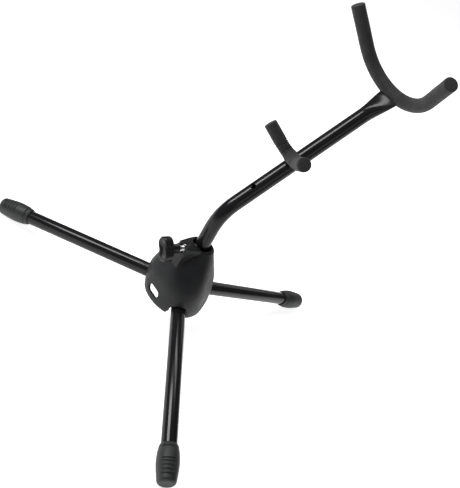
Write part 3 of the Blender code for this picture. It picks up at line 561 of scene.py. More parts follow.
def foam():
    """Closed-cell foam sleeve: fine pores painted darker in their pits as shade, a soft sheen and a slightly
    uneven skin.
    """
    material, tree, shader = new_material("foam_sleeve_skin", (0.016, 0.016, 0.017), 0.9)
    pores = add_cells(tree, 1500.0)
    dents = add_noise(tree, 120.0, 2.0)
    # Painted shade: the pores' middles, where the bump sinks into pits, are painted darker.
    shade = ranged(tree, pores, (0.15, 0.75), (0.0, 1.0))
    tint = blended_colours(tree, shade, (0.0035, 0.0035, 0.0038), (0.0195, 0.0195, 0.0205))
    tree.links.new(tint, shader.inputs["Base Color"])
    tree.links.new(ranged(tree, dents, (0.3, 0.7), (0.78, 0.95)), shader.inputs["Roughness"])
    shader.inputs["Sheen Weight"].default_value = 0.12
    shader.inputs["Sheen Roughness"].default_value = 0.45
    add_bump(tree, shader, ((dents, 0.35, 0.5 * MM), (pores, 0.7, 0.22 * MM)))
    return material


def bare_steel():
    """Zinc-plated steel: fine drawing marks and patches of duller plate."""
    material, tree, shader = new_material("bare_steel_zinc", (0.60, 0.60, 0.61), 0.28, 1.0)
    marks = add_noise(tree, 500.0, 4.0, (1.0, 1.0, 0.15))
    patches = add_noise(tree, 160.0)
    tint = blended_colours(tree, patches, (0.50, 0.51, 0.53), (0.70, 0.69, 0.68))
    tree.links.new(tint, shader.inputs["Base Color"])
    tree.links.new(ranged(tree, marks, (0.25, 0.75), (0.20, 0.38)), shader.inputs["Roughness"])
    add_bump(tree, shader, ((marks, 0.15, 0.03 * MM),))
    return material


def hub_plastic():
    return moulded_plastic("hub_plastic_grain", (0.0058, 0.0063, 0.0072), (0.0088, 0.0094, 0.0106), 0.50)


def black_plastic():
    return moulded_plastic("knob_plastic_grain", (0.009, 0.009, 0.010), (0.014, 0.014, 0.015), 0.30, 0.18)


def liner_plastic():
    return moulded_plastic("liner_plastic_grain", (0.090, 0.090, 0.092), (0.120, 0.120, 0.122), 0.42, 0.15)


MATERIALS = {
    "black_enamel": black_enamel(),
    "hub_plastic": hub_plastic(),
    "foot_rubber": foot_rubber(),
    "foam": foam(),
    "bare_steel": bare_steel(),
    "black_plastic": black_plastic(),
    "liner_plastic": liner_plastic(),
}


def dress(piece, slot, body, *nodes):
    """Give a piece the material of its slot and its body, in place of CAD nodes."""
    piece.data.materials.clear()
    piece.data.materials.append(MATERIALS[slot])
    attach(piece, body)
    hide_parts(*nodes)


def dress_cad_node(name, slot):
    """Give a CAD piece that keeps its shape a new material."""
    node = frame["nodes"][name]
    node.data.materials.clear()
    node.data.materials.append(MATERIALS[slot])


# Hub


def level_values(height):
    """The mean radius, reach over the legs and shift at a height, on a smooth curve through the levels."""
    levels = HUB_LEVELS
    place = between(height / MM, levels[0][0], levels[-1][0])
    k = 1
    while k < len(levels) - 1 and levels[k][0] < place:
        k += 1
    low, high = levels[k - 1], levels[k]
    before, after = levels[max(k - 2, 0)], levels[min(k + 1, len(levels) - 1)]
    span = high[0] - low[0]
    share = (place - low[0]) / span
    values = []
    for i in (1, 2, 3):
        start_slope = (high[i] - before[i]) / (high[0] - before[0])
        end_slope = (after[i] - low[i]) / (after[0] - low[0])
        chord = (high[i] - low[i]) / span
        start_slope = between(start_slope, min(0.0, 2 * chord), max(0.0, 2 * chord))
        end_slope = between(end_slope, min(0.0, 2 * chord), max(0.0, 2 * chord))
        values.append(
            low[i] * (1 + 2 * share) * (1 - share) ** 2
            + start_slope * span * share * (1 - share) ** 2
            + high[i] * share**2 * (3 - 2 * share)
            + end_slope * span * share**2 * (share - 1)
        )
    return values


def hub_radius(height, azimuth):
    """The hub's outside: round, fuller over each leg, and shifted towards the clamp."""
    mean, reach, shift = level_values(height)
    return (mean + reach * math.cos(3 * azimuth) - shift * math.cos(azimuth)) * MM


def hub_ring(height, inset):
    """One level of the hub's outside, or of a surface inset from it."""
    ring = []
    for i in range(HUB_SIDES):
        azimuth = 2 * math.pi * (i + 0.4) / HUB_SIDES
        radius = hub_radius(height, azimuth) - inset
        ring.append(Vector((radius * math.cos(azimuth), radius * math.sin(azimuth), height)))
    return ring


def hub_outside():
    """The solid bell, with closer rings at its rim."""
    heights = levels_between(SKIRT_BOTTOM, 55.5 * MM, 2.0 * MM)
    heights += levels_between(56.0 * MM, RIM_HEIGHT, 0.4 * MM)
    return skin("hub_moulding", [hub_ring(height, 0.0) for height in heights])


def hub_cavity():
    """The space inside the bell, open below."""
    below = SKIRT_BOTTOM - 2 * MM
    rings = [[Vector((p.x, p.y, below)) for p in hub_ring(SKIRT_BOTTOM, HUB_WALL)]]
    rings += [hub_ring(height, HUB_WALL) for height in levels_between(SKIRT_BOTTOM, CAVITY_TOP, 2.0 * MM)]
    return skin("hub_cavity", rings)


def cheek_plates():
    """Two plates beside each leg, which carry its rivet."""
    middle = (CHEEK_INNER + CHEEK_OUTER) / 2
    wall_azimuth = math.atan2(middle, CHEEK_WALL_REACH)
    outline = [(CHEEK_INNER_REACH, SOCKET_FLOOR), CHEEK_KNEE, CHEEK_TOE]
    for height in levels_between(CHEEK_TOE[1], CAVITY_TOP, 6.0 * MM):
        radius = hub_radius(height, wall_azimuth) - CHEEK_SINK
        outline.append((math.sqrt(radius**2 - middle**2), height))
    outline.append((CHEEK_INNER_REACH, CHEEK_TOP))
    for azimuth in LEG_AZIMUTHS.values():
        upright = Matrix.Rotation(math.radians(azimuth), 4, "Z") @ Matrix.Rotation(math.pi / 2, 4, "X")
        for start, end in ((CHEEK_INNER, CHEEK_OUTER), (-CHEEK_OUTER, -CHEEK_INNER)):
            yield extruded("cheek", upright, outline, start, end)


def clamp_boss():
    """The block that holds the clamp screw, on the hub's shoulder."""
    rings = []
    for along in levels_between(BOSS_START, BOSS_END, 2.0 * MM):
        share = (along - BOSS_START) / (BOSS_END - BOSS_START)
        half = BOSS_ROOT_HALF_WIDTH + share * (BOSS_END_HALF_WIDTH - BOSS_ROOT_HALF_WIDTH)
        keel = BOSS_KEEL_SHARE * half
        shoulder = RIM_HEIGHT
        reach = math.hypot(along, keel)
        while shoulder > 0 and hub_radius(shoulder, math.pi - math.atan2(keel, along)) < reach:
            shoulder -= 0.5 * MM
        bottom = min(shoulder - BOSS_SINK, BOSS_HIGHEST_BOTTOM)
        section = (
            (-keel, bottom),
            (keel, bottom),
            (half, CLAMP_HEIGHT),
            (half, BOSS_TOP - BOSS_CHAMFER),
            (half - BOSS_CHAMFER, BOSS_TOP),
            (BOSS_CHAMFER - half, BOSS_TOP),
            (-half, BOSS_TOP - BOSS_CHAMFER),
            (-half, CLAMP_HEIGHT),
        )
        rings.append([Vector((-along, y, z)) for y, z in section])
    return skin("clamp_boss", rings)


def leg_slot(azimuth):
    """An inverted U for one leg, through the skirt and down through its edge."""
    shift = SLOT_HALF_WIDTH - LEG_RADIUS - SLOT_TOP_CLEARANCE
    outline = [(SLOT_DROP, SLOT_HALF_WIDTH), (SLOT_DROP, -SLOT_HALF_WIDTH)]
    for i in range(33):
        turn = math.pi * (i / 32 - 0.5)
        outline.append((shift - SLOT_HALF_WIDTH * math.cos(turn), SLOT_HALF_WIDTH * math.sin(turn)))
    return extruded("leg_slot", leg_frame(azimuth), outline, SLOT_START, SLOT_END)


def hub_window():
    """A round-ended opening in the skirt below the clamp."""
    radius = WINDOW_HEIGHT / 2
    reach = WINDOW_LENGTH / 2 - radius
    outline = []
    for side in (1, -1):
        for i in range(17):
            turn = math.pi * (i / 16 - 0.5)
            outline.append((side * (reach + radius * math.cos(turn)), side * radius * math.sin(turn)))
    about = Matrix.Rotation(math.pi, 4, "Z") @ Matrix.Translation((0, 0, WINDOW_CENTRE))
    about = about @ Matrix.Rotation(math.pi / 2, 4, "Y") @ Matrix.Rotation(math.pi / 2, 4, "Z")
    return extruded("hub_window", about, outline, *WINDOW_CUT)


def soften(obj, voxel, passes):
    """Remesh an object evenly and relax it, so that its edges look moulded."""
    remesh = obj.modifiers.new("remesh", "REMESH")
    remesh.mode = "VOXEL"
    remesh.voxel_size = voxel
    remesh.use_smooth_shade = True
    smooth = obj.modifiers.new("smooth", "SMOOTH")
    smooth.factor = 0.5
    smooth.iterations = passes
    apply_modifiers(obj)
    obj.data.shade_smooth()


def rivet_hole(azimuth, reach):
    """A cutter for a leg's rivet, to the same reach on both sides of the leg."""
    return cylinder("rivet_hole", pivot_frame(azimuth), RIVET_RADIUS + RUNNING_FIT, -reach, reach, 32)


def socket_cutters():
    """The arm's bore with its chamfered mouth, the seat below it and the open floor."""
    upright = Matrix.Identity(4)
    bore = [
        (SOCKET_BORE, BUSH_BOTTOM - GAP),
        (SOCKET_BORE, RIM_HEIGHT + RUNNING_FIT - MOUTH_CHAMFER_DEPTH),
        (SOCKET_BORE + MOUTH_CHAMFER, RIM_HEIGHT + RUNNING_FIT),
        (SOCKET_BORE + MOUTH_CHAMFER, BOSS_TOP + MM),
    ]
    seat = ARM_RADIUS + SOCKET_LIP_CLEARANCE
    return (
        turned("bore", upright, bore, 96),
        cylinder("seat", upright, seat, SOCKET_LIP_TOP, BUSH_BOTTOM + MM, 96),
        cylinder("drain", upright, SOCKET_LIP_RADIUS, SOCKET_FLOOR - MM, SOCKET_LIP_TOP + MM),
    )


def clamp_cutters():
    """The bores for the pad and the screw, and the six-sided pocket for the nut."""
    about = clamp_frame()
    return (
        cylinder("pad_bore", about, PAD_RADIUS + GAP, PAD_FACE - MM, PAD_BORE_END),
        cylinder("screw_bore", about, SCREW_RADIUS + GAP, PAD_FACE, BOSS_END + MM),
        cylinder("pocket", about, NUT_RADIUS + GAP, NUT_START - GAP, BOSS_END + MM, 6),
    )


def build_hub():
    """The hub's moulding: a hollow bell with the arm's socket, plates for the legs and the clamp's boss."""
    hub = hub_outside()
    cut(hub, hub_cavity())
    column = cylinder("column", Matrix.Identity(4), SOCKET_RADIUS, SOCKET_FLOOR, SOCKET_COLUMN_TOP, 96)
    boolean(hub, column, "UNION")
    for plate in cheek_plates():
        boolean(hub, plate, "UNION")
    boolean(hub, clamp_boss(), "UNION")
    cut(hub, *socket_cutters(), *clamp_cutters())
    for azimuth in LEG_AZIMUTHS.values():
        cut(hub, leg_slot(azimuth), rivet_hole(azimuth, CHEEK_OUTER + MM))
    cut(hub, hub_window())
    soften(hub, HUB_VOXEL, HUB_SMOOTH_PASSES)
    dress(hub, "hub_plastic", "hub", "hub_shell")


# Legs


def build_leg_tube(name, azimuth):
    """A hollow tube with a cross hole for its rivet."""
    profile = tube_profile(LEG_RADIUS, LEG_RADIUS - LEG_WALL, LEG_START, LEG_END)
    tube = turned(f"leg_pipe_{name}", leg_frame(azimuth), profile, 96, closed=True)
    cut(tube, rivet_hole(azimuth, LEG_RADIUS + MM))
    resharpen(tube)
    dress(tube, "black_enamel", f"leg_{name}", f"leg_tube_{name}")


def foot_radius(along):
    """The foot's plain outside: a quick swell from its mouth, a slow taper and a rounded end."""
    swell_end = FOOT_MOUTH + FOOT_SWELL_LENGTH
    nose_start = FOOT_TIP - FOOT_NOSE_LENGTH
    swell = between((along - FOOT_MOUTH) / FOOT_SWELL_LENGTH, 0.0, 1.0) ** FOOT_SWELL_POWER
    radius = FOOT_LIP_RADIUS + (FOOT_RADIUS - FOOT_LIP_RADIUS) * math.sin(0.5 * math.pi * swell)
    taper = between((along - swell_end) / (nose_start - swell_end), 0.0, 1.0) ** FOOT_TAPER_POWER
    radius -= FOOT_TAPER * taper
    share = between((along - nose_start) / FOOT_NOSE_LENGTH, 0.0, 1.0)
    nose = (1 - share**FOOT_NOSE_POWER) ** (1 / FOOT_NOSE_POWER)
    return FOOT_FLAT_RADIUS + (radius - FOOT_FLAT_RADIUS) * nose


def rib_depth(along, turn):
    """How deep the ribbed panel is cut at a place; turn is the angle from the panel's middle."""
    across = ease((FOOT_RIB_ANGLE + FOOT_RIB_FADE - abs(turn)) / FOOT_RIB_FADE)
    place = (along - FOOT_RIBS_AT) / FOOT_RIB_PITCH
    if across == 0.0 or not -0.5 < place < FOOT_RIB_COUNT - 0.5:
        return 0.0
    off_rib = abs((place + 0.5) % 1.0 - 0.5) * 2
    return FOOT_RIB_DEPTH * across * ease((off_rib - 0.25) / 0.6)


def foot_skin_radius(along, turn):
    """The foot's outside with its groove and ribs; turn is the angle from the ribbed panel's middle."""
    groove = FOOT_COLLAR_DEPTH * bump(along - FOOT_MOUTH - FOOT_COLLAR_AT, FOOT_COLLAR_WIDTH)
    return foot_radius(along) - groove - rib_depth(along, turn)


def foot_point(azimuth, along, turn, radius):
    """A point of the foot, on the floor where the plain shape would go below it."""
    point = leg_frame(azimuth) @ Vector((-radius * math.cos(turn), radius * math.sin(turn), along))
    point.z = max(point.z, FLOOR)
    return point


def build_foot(name, azimuth):
    """A rubber cap with ribs on its upper side, flat where it rests on the floor."""
    turns = [2 * math.pi * i / FOOT_SIDES for i in range(FOOT_SIDES)]
    turns = [turn if turn <= math.pi else turn - 2 * math.pi for turn in turns]
    bore = LEG_RADIUS + GAP
    rings = []
    for along in (LEG_END + GAP, FOOT_MOUTH):
        rings.append([foot_point(azimuth, along, turn, bore) for turn in turns])
    nose_start = FOOT_TIP - FOOT_NOSE_LENGTH
    places = levels_between(FOOT_MOUTH, nose_start, FOOT_RING_STEP)
    for i in range(1, FOOT_NOSE_STEPS + 1):
        places.append(nose_start + FOOT_NOSE_LENGTH * math.sin(0.5 * math.pi * i / FOOT_NOSE_STEPS))
    for along in places:
        radii = [foot_skin_radius(along, turn - FOOT_PANEL_TURNS[name]) for turn in turns]
        rings.append([foot_point(azimuth, along, turn, radius) for turn, radius in zip(turns, radii)])
    foot = skin(f"foot_cap_{name}", rings, sharp_angle=50.0)
    dress(foot, "foot_rubber", f"leg_{name}", f"foot_{name}")


def build_rivet(name, azimuth):
    """A rivet with two domed heads outside the cheek plates."""
    start = CHEEK_OUTER + GAP
    dome = RIVET_HEAD_THICKNESS - RIVET_HEAD_EDGE
    half = [(RIVET_RADIUS, start), (RIVET_HEAD_RADIUS - RIVET_HEAD_RELIEF, start)]
    for i in range(9):
        turn = 0.5 * math.pi * i / 9
        half.append((RIVET_HEAD_RADIUS * math.cos(turn), start + RIVET_HEAD_EDGE + dome * math.sin(turn)))
    half.append((0.3 * MM, start + RIVET_HEAD_THICKNESS))
    profile = [(radius, -along) for radius, along in half[::-1]] + half
    rivet = turned(f"rivet_{name}", pivot_frame(azimuth), profile, 48)
    dress(rivet, "bare_steel", "hub", f"leg_rivet_{name}")


def build_legs():
    """Each leg's tube, foot, rivet and inner plug."""
    for name, azimuth in LEG_AZIMUTHS.items():
        build_leg_tube(name, azimuth)
        build_foot(name, azimuth)
        build_rivet(name, azimuth)
        dress_cad_node(f"leg_plug_{name}", "liner_plastic")


# Arm


def arm_path():
    """(point, tangent, share of flattening) from the arm's foot to its end against the yoke's rod."""
    up = Vector((0, 0, 1))
    radius = ARM_BEND_TANGENT / math.tan(ARM_LEAN / 2)
    bend_start = ARM_CORNER - up * ARM_BEND_TANGENT
    centre = bend_start + Vector((radius, 0, 0))
    upright = levels_between(ARM_FOOT_HEIGHT, bend_start.z, ARM_STEP)
    path = [(Vector((0, 0, height)), up, 0.0) for height in upright]
    for i in range(1, ARM_CURVE_STEPS + 1):
        angle = ARM_LEAN * i / ARM_CURVE_STEPS
        point = centre + radius * Vector((-math.cos(angle), 0, math.sin(angle)))
        path.append((point, Vector((math.sin(angle), 0, math.cos(angle))), 0.0))
    for along in levels_between(ARM_BEND_TANGENT, FLARE_START, ARM_STEP)[1:]:
        path.append((ARM_CORNER + ARM_RUN * along, ARM_RUN, 0.0))
    end = YOKE_AT - YOKE_ROD_RADIUS - GAP
    for i in range(1, ARM_CURVE_STEPS + 1):
        share = i / ARM_CURVE_STEPS
        along = FLARE_START + (end - FLARE_START) * share
        path.append((ARM_CORNER + ARM_RUN * along, ARM_RUN, share))
    return path


def arm_ring(point, tangent, share, inset):
    """One section of the arm: a circle, pressed step by step into a flat oval at its end."""
    across = ARM_RADIUS + (FLARE_HALF_WIDTH - ARM_RADIUS) * ease(share) - inset
    through = max(ARM_RADIUS + (FLARE_HALF_THICKNESS - ARM_RADIUS) * ease(share) - inset, 0.4 * MM)
    inward = ACROSS.cross(tangent)
    ring = []
    for i in range(ARM_SIDES):
        turn = 2 * math.pi * (i + 0.5) / ARM_SIDES
        flat = (across - through) * between(1.5 * math.cos(turn), -1.0, 1.0)
        side = through * math.cos(turn) + flat
        ring.append(point + side * ACROSS + through * math.sin(turn) * inward)
    return ring


def build_arm():
    """The bent tube with its two peg holes."""
    path = arm_path()
    outer = [arm_ring(*place, 0.0) for place in path]
    inner = [arm_ring(*place, ARM_WALL) for place in path]
    arm = skin("arm_pipe", outer + inner[::-1], closed=True)
    for along in (PEG_AT, SPARE_HOLE_AT):
        cut(arm, cylinder("peg_hole", peg_frame(along), PEG_HOLE_RADIUS, -PEG_HOLE_REACH, PEG_HOLE_REACH, 48))
    resharpen(arm)
    dress(arm, "black_enamel", "arm", "arm_tube")
    dress_cad_node("arm_end_plug", "liner_plastic")
    dress_cad_node("arm_guide_bush", "liner_plastic")


# Foam sleeves


def planar_path(origin, side, up, radius, half_angle, prong, step):
    """A shallow U as (point, tangent) pairs: an arc with its lowest point at the origin, and two prongs."""
    arc = radius * half_angle
    count = math.ceil((arc + prong) / step)
    half = []
    for i in range(count + 1):
        run = (arc + prong) * i / count
        angle = min(run / radius, half_angle)
        past = max(run - arc, 0.0)
        place_side = radius * math.sin(angle) + past * math.cos(angle)
        place_up = radius * (1 - math.cos(angle)) + past * math.sin(angle)
        half.append((place_side, place_up, math.cos(angle), math.sin(angle)))
    mirrored = [(-a, b, c, -d) for a, b, c, d in half[:0:-1]]
    return [(origin + a * side + b * up, c * side + d * up) for a, b, c, d in mirrored + half]


def path_length(path):
    return sum((second[0] - first[0]).length for first, second in zip(path, path[1:]))


def path_at(path, run):
    """The point and tangent at a distance along an evenly stepped path."""
    total = path_length(path)
    place = between(run / total, 0.0, 1.0) * (len(path) - 1)
    k = min(int(place), len(path) - 2)
    share = place - k
    point = path[k][0].lerp(path[k + 1][0], share)
    return point, path[k][1].lerp(path[k + 1][1], share).normalized()


def sleeve_rings(path, normal, start, end, radius, roundings, relief):
    """Rings of a foam tube with rounded ends; relief(run, turn) lifts or sinks its skin."""
    rings = []
    runs = levels_between(start, end, SLEEVE_STEP)
    for place, rounding in ((start, roundings[0]), (end, roundings[1])):
        inward = 1 if place == start else -1
        runs += [place + inward * rounding * (1 - math.cos(0.5 * math.pi * i / 6)) for i in range(6)]
    for run in sorted(set(runs)):
        point, tangent = path_at(path, run)
        inner = normal.cross(tangent)
        here = radius
        for distance, rounding in ((run - start, roundings[0]), (end - run, roundings[1])):
            if distance < rounding:
                here -= rounding * (1 - math.sqrt(1 - (1 - distance / rounding) ** 2))
        ring = []
        for i in range(SLEEVE_SIDES):
            turn = 2 * math.pi * (i + 0.5) / SLEEVE_SIDES
            skin_radius = here + relief(run, turn)
            ring.append(point + skin_radius * (math.cos(turn) * normal + math.sin(turn) * inner))
        rings.append(ring)
    return rings


def rod_channel(path, normal, rod_radius):
    """A cutter for the channel that a sleeve's rod lies in, closed at both ends of the sleeve."""
    rings = []
    radius = rod_radius + GAP
    turns = [2 * math.pi * (i + 0.5) / 24 for i in range(24)]
    for run in levels_between(SLEEVE_END_WALL, path_length(path) - SLEEVE_END_WALL, 3.0 * MM):
        point, tangent = path_at(path, run)
        inner = normal.cross(tangent)
        spokes = [math.cos(turn) * normal + math.sin(turn) * inner for turn in turns]
        rings.append([point + radius * spoke for spoke in spokes])
    return skin("rod_channel", rings)


def dress_sleeve(sleeve, body, node):
    """Finish a foam piece that stands for one CAD sleeve."""
    resharpen(sleeve, SLEEVE_SHARP_ANGLE)
    dress(sleeve, "foam", body, node)


def foam_relief(run, turn):
    """Slow unevenness of a foam skin."""
    place = Vector((run * 90.0, 1.3 * math.cos(turn), 1.3 * math.sin(turn)))
    return 0.10 * MM * (noise.noise(place) - 0.5)


def yoke_path():
    """The middle line of the yoke's rod and sleeve."""
    up = Vector((math.cos(YOKE_PLANE), 0, math.sin(YOKE_PLANE)))
    origin = ARM_CORNER + ARM_RUN * YOKE_AT
    return planar_path(origin, ACROSS, up, YOKE_BEND_RADIUS, YOKE_HALF_ANGLE, YOKE_PRONG, YOKE_STEP)


def build_yoke():
    """The yoke's foam, with a slit under its bend for the arm's flattened end."""
    path = yoke_path()
    total = path_length(path)
    normal = Vector((-math.sin(YOKE_PLANE), 0, math.cos(YOKE_PLANE)))
    roundings = (YOKE_ROUNDING, YOKE_ROUNDING)
    rings = sleeve_rings(path, normal, 0.0, total, YOKE_SLEEVE_RADIUS, roundings, foam_relief)
    sleeve = skin("yoke_foam", rings, sharp_angle=SLEEVE_SHARP_ANGLE)
    wide = FLARE_HALF_WIDTH + GAP
    thick = FLARE_HALF_THICKNESS + GAP
    outline = [(-wide, -thick), (wide, -thick), (wide, thick), (-wide, thick)]
    slit = extruded("slit", arm_frame(YOKE_AT), outline, *YOKE_SLIT)
    cut(sleeve, rod_channel(path, normal, YOKE_ROD_RADIUS), slit)
    dress_sleeve(sleeve, "arm", "yoke_sleeve")
    dress_cad_node("yoke_rod", "bare_steel")


def peg_path():
    """The middle line of the peg fork's rod and sleeves."""
    origin = ARM_CORNER + ARM_RUN * PEG_AT + ARM_UPPER_SIDE * PEG_LIFT
    bend = (PEG_BEND_RADIUS, PEG_HALF_ANGLE, PEG_PRONG)
    return planar_path(origin, PEG_ACROSS, ARM_UPPER_SIDE, *bend, PEG_STEP)


def wrinkled_from(first):
    """A foam relief with cross wrinkles on the inner side of the bend, from a distance along the path."""

    def relief(run, turn):
        inner_side = max(0.0, math.sin(turn) * 0.7 + 0.60) ** 1.2
        folds = 0.0
        for i in range(WRINKLE_COUNT):
            folds += bump(run - first - i * WRINKLE_PITCH, WRINKLE_WIDTH)
        return foam_relief(run, turn) - WRINKLE_DEPTH * folds * inner_side

    return relief


def build_peg_sleeve(side, start, end, roundings, relief, *more_cutters):
    """One foam sleeve of the fork, cut away where it sits on the arm."""
    path = peg_path()
    rings = sleeve_rings(path, PEG_NORMAL, start, end, PEG_SLEEVE_RADII[side], roundings, relief)
    sleeve = skin(f"peg_foam_{side}", rings, sharp_angle=SLEEVE_SHARP_ANGLE)
    channel = rod_channel(path, PEG_NORMAL, PEG_ROD_RADIUS)
    reach = PEG_SADDLE_REACH
    saddle = cylinder("saddle", arm_frame(PEG_AT), ARM_RADIUS + GAP, -reach, reach, 96)
    cut(sleeve, channel, saddle, *more_cutters)
    dress_sleeve(sleeve, "peg", f"peg_sleeve_{side}")


def build_spigot():
    """The fork's steel pin, with a rounded tip."""
    profile = [(SPIGOT_TIP_RADIUS, -SPIGOT_DEPTH)]
    for i in range(7):
        turn = 0.5 * math.pi * i / 6
        radius = SPIGOT_RADIUS - SPIGOT_ROUNDING * (1 - math.sin(turn))
        profile.append((radius, -SPIGOT_DEPTH + SPIGOT_ROUNDING * (1 - math.cos(turn))))
    profile.append((SPIGOT_RADIUS, SPIGOT_TOP))
    spigot = turned("peg_pin", peg_frame(PEG_AT), profile, 48)
    dress(spigot, "bare_steel", "peg", "peg_spigot")


def build_peg():
    """The peg fork's two foam sleeves, its spigot and its rod."""
    total = path_length(peg_path())
    split = total / 2 + PEG_SPLIT
    hole = cylinder("spigot_hole", peg_frame(PEG_AT), SPIGOT_RADIUS + GAP, ARM_RADIUS - 2 * MM, PEG_LIFT, 48)
    build_peg_sleeve("right", 0.0, split - GAP / 2, (2.2 * MM, 1.0 * MM), foam_relief, hole)
    wrinkles = wrinkled_from(split + WRINKLE_START)
    build_peg_sleeve("left", split + GAP / 2, total, (1.0 * MM, 1.6 * MM), wrinkles)
    build_spigot()
    dress_cad_node("peg_fork_rod", "bare_steel")


# Clamp


def thread_ring(along, thread_end, sides):
    """One section of the screw's thread, which fades out at both of its ends."""
    start = ease((along - SCREW_TIP) / MM)
    fade = start * ease((thread_end - along) / SCREW_THREAD_FADE)
    taper = SCREW_TIP_TAPER * (1 - start)
    ring = []
    for i in range(sides):
        turn = 2 * math.pi * i / sides
        phase = (along / SCREW_PITCH - i / sides) % 1.0
        root = SCREW_THREAD_DEPTH * fade * ease(abs(phase - 0.5) * 2)
        radius = SCREW_RADIUS - root - taper
        ring.append(clamp_frame() @ Vector((radius * math.cos(turn), radius * math.sin(turn), along)))
    return ring


def build_screw():
    """A steel screw with a single-start thread up to its flange."""
    sides = 48
    thread_end = SCREW_FLANGE - 1.0 * MM
    places = levels_between(SCREW_TIP, thread_end, SCREW_THREAD_STEP)
    rings = [thread_ring(along, thread_end, sides) for along in places]
    edge = SCREW_FLANGE_EDGE
    shoulder = (
        (SCREW_RADIUS, SCREW_FLANGE),
        (SCREW_FLANGE_RADIUS - edge, SCREW_FLANGE),
        (SCREW_FLANGE_RADIUS, SCREW_FLANGE + edge),
        (SCREW_FLANGE_RADIUS, SCREW_FLANGE_END - edge),
        (SCREW_FLANGE_RADIUS - edge, SCREW_FLANGE_END),
        (SCREW_RADIUS, SCREW_FLANGE_END),
        (SCREW_RADIUS, SCREW_END),
    )
    rings += [circle(clamp_frame(), radius, along, sides) for radius, along in shoulder]
    screw = skin("clamp_stud", rings, sharp_angle=40.0)
    dress(screw, "bare_steel", "clamp_screw_body", "clamp_screw")


def knob_reach(turn, share):
    """The knob's outline: a circle at share 0 and two full wings with pinched flanks at share 1."""
    wave = math.cos(2 * (turn - KNOB_TURN))
    winged = KNOB_RADIUS + KNOB_WING_REACH * wave
    return KNOB_ROOT_RADIUS + (winged - KNOB_ROOT_RADIUS) * share


def knob_ring(along, share, inset):
    """One section of the knob, set in from its outline."""
    ring = []
    for i in range(KNOB_SIDES):
        turn = 2 * math.pi * i / KNOB_SIDES
        radius = max(knob_reach(turn, share) - inset, 0.3 * MM)
        ring.append(clamp_frame() @ Vector((radius * math.cos(turn), radius * math.sin(turn), along)))
    return ring


def knob_collar_rings():
    """The round collar, with a rounded edge towards the screw's flange."""
    inset = KNOB_ROOT_RADIUS - KNOB_COLLAR_RADIUS
    rings = []
    for i in range(5):
        turn = 0.5 * math.pi * i / 4
        along = KNOB_START + KNOB_COLLAR_EDGE * (1 - math.cos(turn))
        rings.append(knob_ring(along, 0.0, inset + KNOB_COLLAR_EDGE * (1 - math.sin(turn))))
    rings.append(knob_ring(KNOB_COLLAR_END, 0.0, inset))
    return rings


def knob_wing_rings():
    """The two wings, growing out of the collar and rounded towards the face."""
    rings = []
    for i in range(11):
        share = i / 10
        along = KNOB_SPREAD_START + KNOB_SPREAD_LENGTH * share
        rings.append(knob_ring(along, ease(share) ** 0.8, 0.0))
    rings.append(knob_ring(KNOB_FLANK_END, 1.0, 0.0))
    for i in range(1, 9):
        turn = 0.5 * math.pi * i / 8
        along = KNOB_FACE - KNOB_EDGE * (1 - math.sin(turn))
        rings.append(knob_ring(along, 1.0, KNOB_EDGE * (1 - math.cos(turn))))
    return rings


def knob_face_rings():
    """The dished face, from the wings' rounded edge to the middle."""
    rings = []
    for i in range(1, 13):
        share = i / 12
        inset = KNOB_EDGE + share * (KNOB_RADIUS - KNOB_EDGE) - share * KNOB_COLLAR_RADIUS
        rings.append(knob_ring(KNOB_FACE - KNOB_DISH_DEPTH * ease(share), 1.0 - share, inset))
    return rings


def build_knob():
    """A two-winged knob with a collar and a dished face."""
    rings = knob_collar_rings() + knob_wing_rings() + knob_face_rings()
    knob = skin("clamp_wing_knob", rings, sharp_angle=50.0)
    cut(knob, cylinder("knob_bore", clamp_frame(), SCREW_RADIUS + GAP, KNOB_START - MM, SCREW_END + GAP, 48))
    resharpen(knob, 50.0)
    dress(knob, "black_plastic", "clamp_screw_body", "clamp_knob")


def build_clamp():
    """The screw and the knob, and the nut and the pad as the CAD has them."""
    build_screw()
    build_knob()
    dress_cad_node("clamp_nut", "bare_steel")
    dress_cad_node("clamp_pad", "liner_plastic")


# Stage


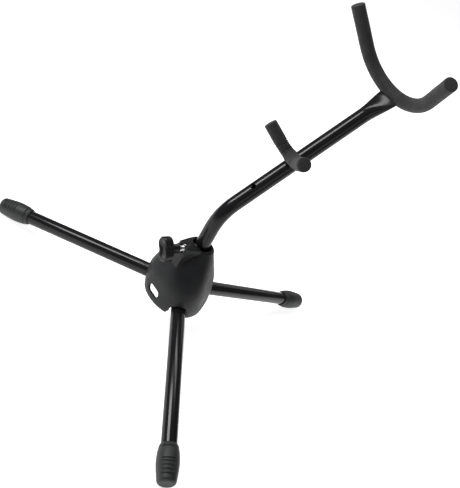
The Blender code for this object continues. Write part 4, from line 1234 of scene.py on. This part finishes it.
def build_floor():
    """A pale floor, lit from within a little so that it stays even."""
    mesh = bmesh.new()
    bmesh.ops.create_grid(mesh, x_segments=2, y_segments=2, size=6.0)
    data = bpy.data.meshes.new("studio_floor")
    mesh.to_mesh(data)
    mesh.free()
    floor = bpy.data.objects.new("studio_floor", data)
    floor.location.z = -FLOOR_DROP
    bpy.context.scene.collection.objects.link(floor)
    material, tree, shader = new_material("studio_floor_white", (0.92, 0.92, 0.92), 0.9)
    shader.inputs["Specular IOR Level"].default_value = 0.1
    shader.inputs["Emission Color"].default_value = (1.0, 1.0, 1.0, 1.0)
    shader.inputs["Emission Strength"].default_value = FLOOR_GLOW
    mottle = add_noise(tree, 3.0)
    tint = blended_colours(tree, mottle, (0.90, 0.90, 0.90), (0.94, 0.94, 0.94))
    tree.links.new(tint, shader.inputs["Base Color"])
    data.materials.append(material)


def build_lights():
    """The softboxes, all facing the target, and a dim grey surround."""
    for name, (direction, distance, width, height, roll, power) in SOFTBOXES.items():
        data = bpy.data.lights.new(name, "AREA")
        data.shape = "RECTANGLE"
        data.size = width
        data.size_y = height
        data.energy = power
        light = bpy.data.objects.new(name, data)
        away = Vector(direction).normalized()
        turned_in_plane = Matrix.Rotation(math.radians(roll), 3, "Z")
        facing = away.to_track_quat("Z", "Y").to_matrix() @ turned_in_plane
        light.rotation_euler = facing.to_euler()
        light.location = LIGHT_TARGET + away * distance
        bpy.context.scene.collection.objects.link(light)
    world = bpy.data.worlds.new("studio_world")
    world.use_nodes = True
    background = world.node_tree.nodes["Background"]
    background.inputs["Color"].default_value = (0.10, 0.10, 0.105, 1.0)
    background.inputs["Strength"].default_value = 1.0
    bpy.context.scene.world = world


def build_camera():
    """The camera on the clamp's side of the stand, looking down at it."""
    data = bpy.data.cameras.new("camera")
    data.lens = CAMERA_LENS
    data.sensor_width = CAMERA_SENSOR
    data.clip_start = 0.01
    camera = bpy.data.objects.new("camera", data)
    right = CAMERA_RIGHT.normalized()
    back = right.cross(CAMERA_UP).normalized()
    up = back.cross(right)
    place = Matrix((right, up, back)).transposed().to_4x4()
    place.translation = HUB + CAMERA_FROM_HUB
    camera.matrix_world = place
    bpy.context.scene.collection.objects.link(camera)
    bpy.context.scene.camera = camera
    bpy.context.scene.view_settings.view_transform = "Standard"


build_hub()
build_legs()
build_arm()
build_yoke()
build_peg()
build_clamp()
build_floor()
build_lights()
build_camera()
